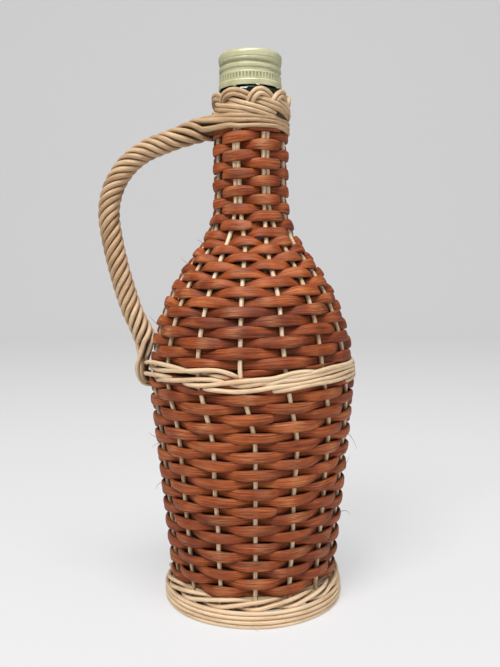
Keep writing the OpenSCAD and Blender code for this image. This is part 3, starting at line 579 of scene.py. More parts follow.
def make_cap():
    """The shell turned from a thin closed profile with a fine grid, so that the pressed marks are real shape."""
    top = 2.1
    a = np.linspace(0, 90, 12)
    h = np.concatenate([[0.0, 0.12], np.linspace(0.4, CAP_H - top, 92)])
    out_r = np.concatenate([[CAP_R - 0.12, CAP_R], np.full(92, CAP_R)])
    out_r = out_r - 0.28 * smooth((h - 2.4) / 0.5) * smooth((13.2 - h) / 0.5)
    out_r -= 0.12 * smooth((h - 13.6) / 0.6) * 0
    crown_r, crown_h = CAP_R - top + top * cos(a), CAP_H - top + top * sin(a)
    flat = np.array([12.8, 11.5, 9.0, 6.0, 3.0, 0.01])
    flat_h = CAP_H - np.array([0.0, 0.10, 0.16, 0.16, 0.16, 0.16])
    inner_r = np.r_[0.01, 6.0, 12.6, CAP_R - top + (top - CAP_WALL) * sin(np.linspace(10, 90, 8)) - 0.05]
    inner_h = np.r_[[CAP_H - CAP_WALL - 0.16] * 3, CAP_H - top + (top - CAP_WALL) * cos(np.linspace(10, 90, 8))]
    low = np.array([CAP_H - top - 2, 12.0, 9.0, 6.0, 2.5, 0.3, 0.0])
    low_r = np.array([CAP_R - 0.5, CAP_R - 0.9, CAP_R - 0.9, CAP_R - 0.8, CAP_R - 0.5, CAP_R - 0.42, CAP_R - 0.38])
    radii = np.concatenate([[0.01], inner_r[1:], low_r, out_r, crown_r[1:], flat])
    heights = np.concatenate([[inner_h[0]], inner_h[1:], low, h, crown_h[1:], flat_h]) + CAP_Z
    hh = heights - CAP_Z
    outside = np.r_[np.zeros(len(inner_r) + len(low_r)), np.ones(len(radii) - len(inner_r) - len(low_r))]
    edge = outside * (np.exp(-((hh - 0.1) / 0.35) ** 2) + np.exp(-((hh - CAP_H + 0.5) / 0.9) ** 2)
                      + np.exp(-((hh - 13.3) / 0.3) ** 2) + np.exp(-((hh - 2.5) / 0.3) ** 2))
    sides = 720
    az = np.arange(sides) * 360.0 / sides
    grid_a, grid_h = np.meshgrid(az, hh)
    # Painted shade mask: 1 in the rolled grooves and the pressed flutes, where the enamel finish darkens its colour.
    level = thread_level(grid_a)
    groove = np.clip(pit(grid_h - level, 1.2) + pit(grid_h - level - 3.6, 1.2), 0, 1) * outside[:, None]
    groove = np.where(grid_h > 12.6, 0, groove)
    groove += 0.8 * outside[:, None] * smooth((0.5 + 0.5 * np.cos(np.radians(grid_a) * FLUTES) - 0.4) / 0.4) \
        * smooth((grid_h - 2.8) / 0.3) * smooth((6.0 - grid_h) / 0.3)
    obj = turned("rolled_cap", radii, heights, sides, {"groove": groove, "edge": np.clip(edge, 0, 1)[:, None]
                                                       * np.ones((1, sides))}, cap_shift)
    obj.data.materials.append(enamel)
    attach(obj, "cap")
    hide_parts("screw_cap")
    for i, az in enumerate([-29, 14, 58, 104, 149, 194, 239, 284]):
        n = 14
        t = np.linspace(-90, 90, n)
        height = 0.75 * cos(t) ** 0.7
        span = 1.0 * sin(t)
        grid = np.stack([at(az + span / CAP_R * 57.3, CAP_R - 0.36, CAP_Z + 0.15 - height),
                         at(az + span / CAP_R * 57.3, CAP_R - 0.02, CAP_Z + 0.15 - height),
                         at(az + span / CAP_R * 57.3, CAP_R - 0.02, CAP_Z + 0.3),
                         at(az + span / CAP_R * 57.3, CAP_R - 0.36, CAP_Z + 0.3)], 1)
        nub = skin("broken_bridge_%d" % (i + 1), grid, {"groove": np.zeros(n), "edge": np.ones(n)})
        nub.data.materials.append(enamel)
        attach(nub, "cap")


def make_liner():
    """A thin disc with rounded rims and a shallow ring pressed into its underside by the glass."""
    r0, z0, z1 = 13.7, RIM_Z + 0.15, RIM_Z + 1.5
    a = np.linspace(-90, 90, 9)
    ring = np.array([0.01, 5.0, 9.0, 9.6, 11.0, 12.6, 13.1])
    ring_z = z0 + np.array([0, 0, 0, 0.14, 0.16, 0.10, 0.0])
    radii = np.concatenate([ring, r0 - 0.5 + 0.5 * cos(a), [12.0, 6.0, 0.01]])
    heights = np.concatenate([ring_z, (z0 + z1) / 2 + (z1 - z0) / 2 * sin(a), [z1, z1, z1]])
    obj = turned("cap_seal", radii, heights, 96)
    obj.data.materials.append(liner_finish())
    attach(obj, "liner")
    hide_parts("cap_liner")


# ---------------------------------------------------------------- stakes
PAIRS = [[0, 11], [1, 10], [2, 9], [3, 8], [7, 12], [6, 13], [5, 14], [4]]
CROSS_AZ, CROSS_HALF, EDGE_R = WALL_AZ + 1.75 * STEP, 5.5, 34.0
CROSS_U = np.array([-1.5, -0.5, 0.5, 1.5, 1.5, 0.5, -0.5, -1.5]) * PAIR_STEP
COLLAR_Z = RIM_Z - 37.5
INNER_R = BEAD_R + LAY_GAP + STAKE_D / 2
OUTER_R = INNER_R + STAKE_D + 2 * LAY_GAP


def cross_point(c, d):
    a = CROSS_AZ + (0 if c < 4 else 90)
    return d * outwards(a) + CROSS_U[c] * outwards(a + 90) + [0, 0, BASE_Z + (-1 if c < 4 else 1) * PAIR_STEP / 2]


def cane_of(j):
    return next(c for c, ends in enumerate(PAIRS) if j in ends)


def spoke(j, t):
    """A point on a stake under the bottle, from the cross (0) to the edge (1)."""
    p = cross_point(cane_of(j), (1 if j < 8 else -1) * CROSS_HALF)
    e = at(WALL_AZ + STEP * j, EDGE_R, BASE_Z)
    q = p + (e - p) * t
    return np.array([q[0], q[1], BASE_Z if t > 0.3 else p[2] + (BASE_Z - p[2]) * t / 0.3])


def rise_az(g):
    return COLLAR_AZ[g % 9] + 360 * (g // 9)


def border(g):
    """Azimuth, radius and height marks of a stake pair in the collar's plait: up, over, behind, and out as a tail."""
    a = float(place_az(g))
    a0, a1, a2, a3 = (rise_az(g + n) for n in range(4))
    d0, d1, d2 = a1 - a0, a2 - a1, a3 - a2
    n, i, m, o = NECK_R + STAKE_OFF, INNER_R, (INNER_R + OUTER_R) / 2, OUTER_R
    drop = {6: 0.2, 7: -0.9, 8: 0.7}.get(g % 9, 0.0)
    marks = np.array([
        [a, n, 1.5], [0.5 * a + 0.5 * a0, n, 6], [a0 - 1, i, 10], [a0 + 1, i + 0.5, 12.6],
        [a0 + 3.5, o - 0.5, 14.6], [a0 + 8, o, 16.6], [a0 + 0.3 * d0 + 2, o, 17.9], [a0 + 0.52 * d0, o - 0.3, 18.2],
        [a0 + 0.8 * d0, m, 17.0], [a1 + 1, i + 0.4, 15.4], [a1 + 9, i + 0.3, 14.8], [a1 + 15, i + 0.7, 14.4],
        [a1 + 0.6 * d1, o - 0.6, 13.1 + 0.5 * drop], [a2, o - 0.1, 11.5 + drop], [a2 + 0.35 * d2, o, 10.4 + drop],
        [a2 + 0.7 * d2, o - 0.4, 9.3 + 0.9 * drop], [a3 + 2, o - 1.2, 8.6 + 0.7 * drop],
        [a3 + 9, i + 0.3, 8.4 + 0.6 * drop]])
    marks[:, 1] *= 1 - 0.04 * np.clip(-sin(marks[:, 0]), 0, 1) * smooth((marks[:, 2] - 6) / 3)
    return marks


def half_stake(j):
    """Marks of one stake from the cross under the bottle to the end of its tail, with the ways outwards."""
    g = PLACE[j] + (9 if j == STAKES - 1 else 0)
    az = WALL_AZ + STEP * j
    under = [spoke(j, t) for t in (0, 0.3, 0.65, 1)]
    steps = [(FOOT_R - 3.9, BASE_Z), (FOOT_R - 0.9, BASE_Z + 1.5), (FOOT_R, BASE_Z + 3.6), (FOOT_R - 0.7, BASE_Z + 7)]
    foot = [at(az, r, z) for r, z in steps]
    s = np.linspace(wall_s(BASE_Z + 9.4), NECK_S, 60)
    r, z, _ = side(s, STAKE_OFF)
    wander = 0.22 * drift(s, 300 + j, 60)
    wall_a = stake_az(j, s)
    wall = at(wall_a + wander / r * 57.3, r, z)
    b = border(g)
    mid = at(b[:, 0], b[:, 1], COLLAR_Z + b[:, 2])
    t = unit(np.gradient(mid, axis=0))
    outs_b = outwards(b[:, 0])
    plait = mid - PLACE_SIDE[j] * PAIR_STEP / 2 * unit(np.cross(outs_b, t))
    flat = np.tile([0, 0, -1.0], (4, 1))
    turn = unit(outwards(az) + [0, 0, -1])
    outs = np.concatenate([flat, [turn], np.tile(outwards(az), (3, 1)), outwards(wall_a), outs_b])
    return np.concatenate([under, foot, wall, plait]), outs


def make_stakes():
    """Eight stake canes, each through under the bottle; above the binding the same cane goes on into the plait."""
    for c, ends in enumerate(PAIRS):
        near, near_out = half_stake(ends[0])
        if len(ends) > 1:
            far, far_out = half_stake(ends[1])
            far, far_out = far[::-1], far_out[::-1]
        else:
            far, far_out = cross_point(c, 1 - CROSS_HALF)[None], np.array([[0, 0, -1.0]])
        path, outs = flow(np.concatenate([far, near]), np.concatenate([far_out, near_out]), 0.8)
        wide = 1.03 + 0.05 * drift(np.arange(len(path)), 40 + c, 40)
        plait = smooth((path[:, 2] - COLLAR_Z - 4) / 5)
        cane("stake_%d" % (c + 1), ["stake_cane_%d" % (c + 1)], path, outs, round_section(STAKE_D + 0.1, 12),
             stake_finish, wide, wide, tone=0.6 * np.sin(c * 2.4) - 1.3 * plait, seed=50 + 3 * c)


# ---------------------------------------------------------------- waist band
BAND_S, BAND_Z = 13.1, 116.0
BAND_ROD = 2.2
BAND_FRONT = [
    [(-99, 1.5, 2.4), (-88, 4.0, 2.2), (-74, 6.0, 1.4), (-61, 6.5, 1), (-51, 6.4, 1), (-43, 5.9, 1), (-35, 4.8, 0.6),
     (-28, 4.0, -1), (-20, 3.6, 0.5), (-14, 3.0, 0.3), (-6, 1.8, -1), (0, 0.0, -0.8), (5, -0.7, 0.3), (9, 0.1, 0.9),
     (14, 1.2, 1), (19, 1.4, 1), (25, 1.7, 1), (30, 2.2, 1), (37, 2.9, 1), (44, 3.5, 1), (53, 4.1, 1), (65, 4.4, 1)],
    [(-99, 3.4, 1.4), (-88, 2.6, 1.0), (-71, 2.8, 0.4), (-56, 3.7, 0.8), (-47, 4.4, 1), (-40, 4.7, 1), (-33, 5.2, 1.2),
     (-27, 5.7, 1.2), (-21, 6.0, 1.2), (-16, 5.7, 1), (-12, 4.8, 0.8), (-9, 3.6, 0.2), (-6, 1.8, -1), (-1, -0.4, -1),
     (5, -2.5, -0.6), (10, -3.1, 0.2), (14, -2.9, 0.8), (20, -2.4, 1), (25, -1.8, 1), (30, -1.3, 1), (37, -0.9, 1),
     (44, -0.8, 1), (53, -0.5, 1), (65, 0.0, 1)],
    [(-99, -1.6, 2.2), (-88, -1.0, 2.2), (-74, 0.2, 1.4), (-60, 1.0, 1), (-51, 1.0, 0.6), (-43, 0.0, -0.5), (-38, -0.8, 0.3),
     (-33, -1.1, 0.8), (-27, -1.0, 1), (-21, -0.5, 1), (-16, 0.2, 1), (-11, 0.8, 1.2), (-6, 1.4, 1.2), (-1, 1.8, 1.2),
     (5, 2.2, 1.2), (10, 2.5, 1.2), (15, 3.4, 1.2), (20, 4.4, 1.2), (26, 4.8, 1.1), (32, 4.5, 0.9), (42, 3.0, -1),
     (51, 0.3, -0.9), (63, -2.3, 0.3)],
    [(-98, 1.0, -0.6), (-84, 1.0, -0.5), (-60, 1.7, -0.6), (-48, 0.1, -1), (-38, -1.9, -1), (-30, -2.5, -0.2),
     (-24, -2.6, 0.5), (-19, -2.7, 1), (-14, -3.0, 1), (-8, -3.2, 1), (-4, -3.0, 1), (1, -2.5, 1), (6, -1.9, 1),
     (11, -1.2, 1.1), (16, -0.9, 1.1), (22, -0.5, 1), (27, -0.1, 1), (32, 0.3, 1), (38, 0.8, 1), (46, 1.2, 1),
     (55, 1.8, 1), (67, 2.3, 1)],
    [(-97, -3.2, -0.6), (-84, -3.0, -0.8), (-71, -2.3, -0.2), (-58, -0.9, 0.7), (-48, -0.1, 1), (-40, 0.5, 1),
     (-33, 1.2, 1), (-27, 1.7, 1), (-21, 1.8, 1), (-17, 1.3, 0.8), (-13, 0.3, 0.3), (-8, -0.6, 0.5), (-4, -0.6, 0.9),
     (2, 0.2, 1), (9, 1.2, 0.8), (14, 2.0, 0.8), (19, 2.7, 1), (25, 3.2, 1), (30, 3.7, 1), (37, 4.6, 1.2),
     (44, 5.4, 1.2), (53, 5.6, 1.2), (63, 5.6, 1)]]
BAND_PHASE = [3, 1, 0, 2, 4]


def band_marks(i):
    """Azimuth, height and side of a rod of the band: as seen in front, and behind in front of four stakes of five."""
    marks = list(BAND_FRONT[i])
    for n in range(16):
        p = (BAND_PHASE[i] + n / 2) % 5
        dive = p > 4
        marks.append((78.5 + 12 * n, 2.0 if dive else 2.0 + 1.9 * (p - 2), -1 if dive else 1))
    return np.array(marks, float)


BAND_AZ = np.arange(-97.0, 264.0, 3.0)
band_rods = [band_marks(i) for i in range(5)]
band_h = np.array([np.interp(BAND_AZ, m[:, 0], m[:, 1]) for m in band_rods])
band_o = np.array([np.interp(BAND_AZ, m[:, 0], m[:, 2]) for m in band_rods])
BAND_MID = BAND_S + 0.27
BAND_OVER = BAND_MID + np.where(band_o > -0.4, band_h, -9).max(0) + BAND_ROD / 2
BAND_UNDER = BAND_MID + np.where(band_o > -0.4, band_h, 9).min(0) - BAND_ROD / 2


def make_band():
    """Five rods worked together: each climbs in front of four stakes, dives behind the next and comes out below."""
    for i, marks in enumerate(band_rods):
        az, h, o = marks.T
        s = BAND_MID + h
        r, z, _ = side(s, STAKE_OFF + o * ROD_SWING)
        path, outs = flow(at(az, r, z), outwards(az), 1.0)
        wide = 1 + 0.05 * drift(np.arange(len(path)), 70 + i, 60)
        cane("band_rod_%d" % (i + 1), ["waist_rod_%d" % (i + 1)] if i < 4 else [], path, outs,
             round_section(BAND_ROD, 14), rod_finish, wide, wide, tone=0.5 * np.sin(i * 3.1),
             seed=120 + 4 * i)


# ---------------------------------------------------------------- weaving
WALL_START = wall_s(BASE_Z + 12.6)
BAND_HALF = 1.5 * (ROD_D + 0.15) + ROD_D / 2 + 0.15
SHOULDER_START = BAND_S + 4.15
SHOULDER_ROWS = 14
NECK_FROM, NECK_ROWS = 5, 11
NECK_TOP = 9 * (NECK_ROWS + 1) + 2
SHOULDER_END = SHOULDER_ROWS * STAKES + 6
NECK_START = SHOULDER_START + SHOULDER_PITCH * (SHOULDER_END + 1) / STAKES + 0.7
WALL_JOINS = [-4, 135, 285, 0]
BAND_LOW = BAND_S - BAND_HALF - 4.15 / 2 - 0.1
WALL_JOINS[3] = int((BAND_LOW - WALL_START) / WALL_PITCH * STAKES) + 38
SHOULDER_JOINS = [1, 98, SHOULDER_END]


def spiral_marks(k, start, pitch, front, share=1.0):
    """Azimuth, way up and side (1 in front, -1 behind) of a row where it meets stake k, which may be a fraction."""
    k = np.asarray(k, float)
    k0 = np.floor(k).astype(int)
    s = start + pitch * k / STAKES
    a = stake_az(k0 + 150, s) * (1 - (k - k0)) + stake_az(k0 + 151, s) * (k - k0) - 3600
    o = np.where((k0 + 150) % 2 == front, 1.0, -1.0) * share
    return np.stack([a, s, o], -1)


def neck_s_at(az):
    return NECK_START + NECK_PITCH * (az - NECK_AZ[NECK_FROM]) / 360


def neck_marks(places):
    """The same for the neck: two marks at each gathered place, so that the cane lies flat across a pair."""
    rows = []
    for c in places:
        g, turn = c % 9, c // 9
        s = neck_s_at(float(place_az(c)))
        js = [j for j in range(STAKES) if PLACE[j] == g]
        az = np.array([float(stake_az(j, s)) for j in js])
        az = np.where(az - float(place_az(g)) > 180, az - 360, az)
        mid = az.mean() + 360 * (turn + SHOULDER_ROWS)
        r = side(s, STAKE_OFF)[0]
        half = (az.max() - az.min()) / 2 + (0.35 if len(js) > 1 else 0.15) * STAKE_D / r * 57.3
        o = 1.0 if c % 2 == 0 else -1.0
        rows += [[mid - half, s, o], [mid + half, s, o]]
    return np.array(rows)


def neck_tuck(places):
    """The end of the cane, tucked away behind every stake under the binding."""
    a = np.array([float(place_az(c)) for c in places])
    return np.stack([a + 360 * SHOULDER_ROWS, neck_s_at(a), -1.0 + 0 * a], -1)


def between(c, share, o):
    a = float(place_az(c)) * (1 - share) + float(place_az(c + 1)) * share
    return np.array([[a + 360 * SHOULDER_ROWS, neck_s_at(a), o]])


def weaver(name, nodes, marks, step, seed, pitch):
    """A split cane through marks of azimuth, way up and side: level over each stake and widest in front of it.

    It wanders slowly in height, width and roll, and where it meets the waist band its edge follows the band's.
    """
    az = np.arange(marks[0, 0], marks[-1, 0], step)
    s = hermite(marks[:, 0], marks[:, 1], az)
    o = hermite(marks[:, 0], marks[:, 2], az, level=True)
    full = 1 - 2 * ((1 - o) / 2) ** 1.7
    r0 = side(s, STAKE_OFF)[0]
    run = np.r_[0, np.cumsum(np.diff(az) * np.pi / 180 * (r0[1:] + r0[:-1]) / 2)]
    s = s + 0.26 * drift(run, seed, 45)
    wide = pitch * (1.04 + 0.18 * np.clip(o, 0, 1) ** 1.6 + 0.12 * np.clip(-o, 0, 1) ** 1.6
                    + 0.03 * drift(run, seed + 3, 60))
    top, low = s + wide / 2, s - wide / 2
    below = s < BAND_S + 1
    turn = (az + 97) % 360 - 97
    under = np.interp(turn, BAND_AZ, BAND_UNDER)
    hidden = below & (s > under + 0.6)
    top = np.where(below & ~hidden, np.minimum(top, under), top)
    full = np.where(hidden, np.minimum(full, 0.35), full)
    low = np.where(below, low, np.maximum(low, np.interp(turn, BAND_AZ, BAND_OVER)))
    squeezed = np.maximum(top - low, 1.3)
    s = np.where(below, top - squeezed / 2, low + squeezed / 2)
    tuck = smooth((1 - squeezed / wide) / 0.5)
    r, z, lean = side(s, STAKE_OFF + full * SWING * (1 - 0.5 * tuck) + 0.08 * drift(run, seed + 7, 40))
    path = at(az, r, z)
    roll = 10 * drift(run, seed + 13, 38)
    outs = outwards(az, lean) * cos(roll)[:, None] + outwards(az, lean + 90) * sin(roll)[:, None]
    swell = squeezed / 4.62
    swell *= 1 - 0.25 * (1 - smooth(run / 5)) - 0.25 * (1 - smooth((run[-1] - run) / 4))
    thick = (1 + 0.08 * full + 0.06 * drift(run, seed + 5, 60)) * (1 - 0.35 * tuck)
    thick *= 0.55 + 0.45 * smooth(run / 7) * smooth((run[-1] - run) / 7)
    rub = np.clip(full, 0, 1) ** 2 * np.clip(0.25 + 0.6 * drift(run, seed + 11, 25), 0, 1)
    section = split_section(4.62, 0.95, 0.95)
    return cane(name, nodes, path, outs, section, brown_cane, swell, thick,
                tone=0.5 * np.sin(seed * 1.7), rub=rub, seed=seed)


def make_weaving():
    """The covering in five long canes, one following the other, and one cane under the bottle."""
    k = WALL_JOINS
    parts = [
        ("wall_weaver_1", np.concatenate([spiral_marks(np.arange(k[0], k[1] + 1), WALL_START, WALL_PITCH, 1),
                                          spiral_marks([k[1] + 0.55], WALL_START, WALL_PITCH, 1, 0.6)]), 11),
        ("wall_weaver_2", np.concatenate([spiral_marks([k[1] + 0.38], WALL_START, WALL_PITCH, 1, -0.35),
                                          spiral_marks(np.arange(k[1] + 1, k[2] + 1), WALL_START, WALL_PITCH, 1),
                                          spiral_marks([k[2] + 0.55], WALL_START, WALL_PITCH, 1, 0.6)]), 23),
        ("wall_weaver_3", np.concatenate([spiral_marks([k[2] + 0.38], WALL_START, WALL_PITCH, 1, -0.35),
                                          np.minimum(spiral_marks(np.arange(k[2] + 1, k[3] + 1), WALL_START,
                                                                  WALL_PITCH, 1), [9e9, BAND_S + 0.4, 1])]), 37)]
    q = SHOULDER_JOINS
    parts += [
        ("shoulder_weaver_1", np.concatenate([
            spiral_marks([0.05], SHOULDER_START, SHOULDER_PITCH, 0, -0.8),
            spiral_marks([0.4], SHOULDER_START, SHOULDER_PITCH, 0, 0.3),
            spiral_marks(np.arange(q[0], q[1] + 1), SHOULDER_START, SHOULDER_PITCH, 0),
            spiral_marks([q[1] + 0.55], SHOULDER_START, SHOULDER_PITCH, 0, 0.6)]), 51),
        ("shoulder_weaver_2", np.concatenate([
            spiral_marks([q[1] + 0.38], SHOULDER_START, SHOULDER_PITCH, 0, -0.35),
            spiral_marks(np.arange(q[1] + 1, q[2] + 1), SHOULDER_START, SHOULDER_PITCH, 0),
            neck_marks(range(NECK_FROM, 19)), between(18, 0.5, 0.6)]), 67),
        ("neck_weaver", np.concatenate([between(18, 0.36, -0.35),
                                        neck_marks(range(19, NECK_TOP)),
                                        neck_marks(range(NECK_TOP, NECK_TOP + 9)) * [1, 1, 0.6],
                                        neck_tuck(range(NECK_TOP + 9, NECK_TOP + 12))]), 83)]
    for name, marks, seed in parts:
        pitch = {"wall": WALL_PITCH, "shou": SHOULDER_PITCH, "neck": NECK_PITCH + 0.15}[name[:4]]
        weaver("woven_" + name, [name], marks, 3.0 if "neck" in name else 2.0, seed, pitch)
    n = 4 * STAKES
    points = np.array([spoke(i % STAKES, 0.36 + 0.6 * i / n) + [0, 0, (1 if i % 2 == 0 else -1) * SWING]
                       for i in range(n + 1)])
    path, outs = flow(points, np.tile([0, 0, -1.0], (n + 1, 1)), 1.6)
    cane("woven_base", ["base_weaver"], path, outs, split_section(3.7, 0.8, 0.7), brown_cane, seed=95)


# ---------------------------------------------------------------- foot
HOOP_R = FOOT_R + STAKE_D / 2 + LAY_GAP + FOOT_ROD_D / 2 + 0.35
RIM_LEVEL = FOOT_ROD_D / 2 - 0.5
WIND_Z = RIM_LEVEL + FOOT_ROD_D + 0.05
WALE_H = (FOOT_ROD_D + LAY_GAP) / 2
WALE_Z = WIND_Z + 2 * (FOOT_ROD_D + 0.45) + FOOT_ROD_D + WALE_H + 0.05
WALE_R, WALE_SWING = FOOT_R - 0.7, STAKE_D / 2 + LAY_GAP + FOOT_ROD_D / 2 + 0.1


COIL_AZ = 262


def make_foot():
    """A hoop on the table, a winding of three turns above it, three waling rods wound round the stakes, a lining behind."""
    az = np.arange(92, 452.5, 2.0)
    path = at(az, HOOP_R - 0.1 + 0.15 * drift(az, 7, 90), np.maximum(1.05, RIM_LEVEL) + 0 * az)
    cane("foot_hoop", ["foot_rim"], path, outwards(az), round_section(2.1, 14), rod_finish, seed=150)
    az = np.arange(COIL_AZ - 96, COIL_AZ + 360 * 3.0, 3.0)
    turn = (az - COIL_AZ) / 360
    z = 3.12 + np.maximum(2.12 * (np.floor(turn) + smooth((turn % 1 - 0.72) / 0.28)), 0) + 0.1 * drift(az, 9, 120)
    r = HOOP_R + 0.15 - 0.55 * smooth((z - 5.5) / 4) + 0.15 * drift(az, 11, 100) - 0.6 * smooth(-turn * 3.75)
    cane("foot_coil", ["foot_winding"], at(az, r, z), outwards(az), round_section(2.15, 14), rod_finish,
         seed=156)
    az = np.arange(COIL_AZ, COIL_AZ + 360 * 3.6, 4.0)
    z = 7.2 + 2.1 * (az - COIL_AZ) / 360
    r = FOOT_R - 2.0 - 2.4 * smooth((z - 9.5) / 5) + 0.2 * drift(az, 13, 110)
    cane("foot_lining", [], at(az, r, z), outwards(az), round_section(2.3, 12), rod_finish, seed=170)
    for i in range(3):
        marks, outs = [], []
        for k in range(2 * STAKES - 1):
            q, a = k / 2 + i, WALL_AZ + STEP * (11 + k / 2)
            p, half = int(q) % 3, q > int(q)
            out, nxt = (-1 if p == 2 else 1), (-1 if p == 1 else 1)
            h = 1.5 * ([0, 1, -1][p] if half else [-1, 1, 0][p])
            o = (out + nxt) / 2 if half else out
            marks.append(at(a, WALE_R + o * WALE_SWING, WALE_Z + h * WALE_H))
            outs.append(outwards(a))
        path, outs = flow(marks, outs, 1.0)
        cane("foot_waling_%d" % (i + 1), ["foot_wale_%d" % (i + 1)], path, outs, round_section(2.1, 14), rod_finish,
             tone=0.4 * np.sin(i * 2.0), seed=160 + 3 * i)


# ---------------------------------------------------------------- handle
HANDLE_AZ, CORE_R, STRAND_D = -90.0, 2.2, 2.5
BIND_SHARE, LAY_LENGTH = 0.85, 26.0
HANDLE_TOP, HANDLE_SLOPE, HANDLE_RUN, HANDLE_BEND, HANDLE_CURVE = 238.6, 17.5, 28.5, 36.0, 230.0
BIND_R = NECK_R + STAKE_OFF + STAKE_D / 2 + LAY_GAP + STRAND_D / 2
BIND_Z, BIND_TILT = COLLAR_Z + 3.5, -1.5
BIND_PITCH = STRAND_D * BIND_SHARE + 0.12
BIND_AZ = [-52, -15, 14, 41, 64, 90, 128]
BIND_LEVELS = [[241.9, 241.0, 240.3, 239.9, 239.5, 239.5, 239.9], [239.9, 238.8, 238.8, 238.4, 237.7, 237.4, 237.7],
               [237.7, 236.0, 236.3, 236.5, 235.7, 235.2, 235.5]]
RUN_R, BEND_END, CURVE_END, TAIL_R, TAIL_END = 400.0, 98.0, 109.5, 300.0, 106.0
RUN_END = HANDLE_SLOPE + np.degrees(HANDLE_RUN / RUN_R)
RUN_C = np.array([OUTER_R + 3.2, HANDLE_TOP]) - RUN_R * np.array([sin(HANDLE_SLOPE), cos(HANDLE_SLOPE)])
BEND_C = RUN_C + (RUN_R - HANDLE_BEND) * np.array([sin(RUN_END), cos(RUN_END)])
CURVE_C = BEND_C - (HANDLE_CURVE - HANDLE_BEND) * np.array([sin(BEND_END), cos(BEND_END)])
TAIL_C = CURVE_C + (HANDLE_CURVE + TAIL_R) * np.array([sin(CURVE_END), cos(CURVE_END)])
BEND_LEN = HANDLE_BEND * np.radians(BEND_END - RUN_END)
CURVE_LEN = HANDLE_CURVE * np.radians(CURVE_END - BEND_END)
TAIL_LEN = TAIL_R * np.radians(CURVE_END - TAIL_END)
HANDLE_LEN = HANDLE_RUN + BEND_LEN + CURVE_LEN + TAIL_LEN
ROPE_END = 6.0
ROPE_TOP = 2.5


def handle_line(s):
    """Radius, height and downward direction of the handle's middle: four arcs that touch end to end."""
    s = np.asarray(s, float)
    d = np.select([s < HANDLE_RUN, s < HANDLE_RUN + BEND_LEN, s < HANDLE_RUN + BEND_LEN + CURVE_LEN], [
        HANDLE_SLOPE + np.degrees(s / RUN_R), RUN_END + np.degrees((s - HANDLE_RUN) / HANDLE_BEND),
        BEND_END + np.degrees((s - HANDLE_RUN - BEND_LEN) / HANDLE_CURVE)],
        CURVE_END - np.degrees((s - HANDLE_RUN - BEND_LEN - CURVE_LEN) / TAIL_R))
    zone = np.select([s < HANDLE_RUN, s < HANDLE_RUN + BEND_LEN, s < HANDLE_RUN + BEND_LEN + CURVE_LEN], [0, 1, 2], 3)
    centre = np.array([RUN_C, BEND_C, CURVE_C, TAIL_C])[zone]
    radius = np.array([RUN_R, HANDLE_BEND, HANDLE_CURVE, -TAIL_R])[zone]
    return centre[..., 0] + radius * sin(d), centre[..., 1] + radius * cos(d), d


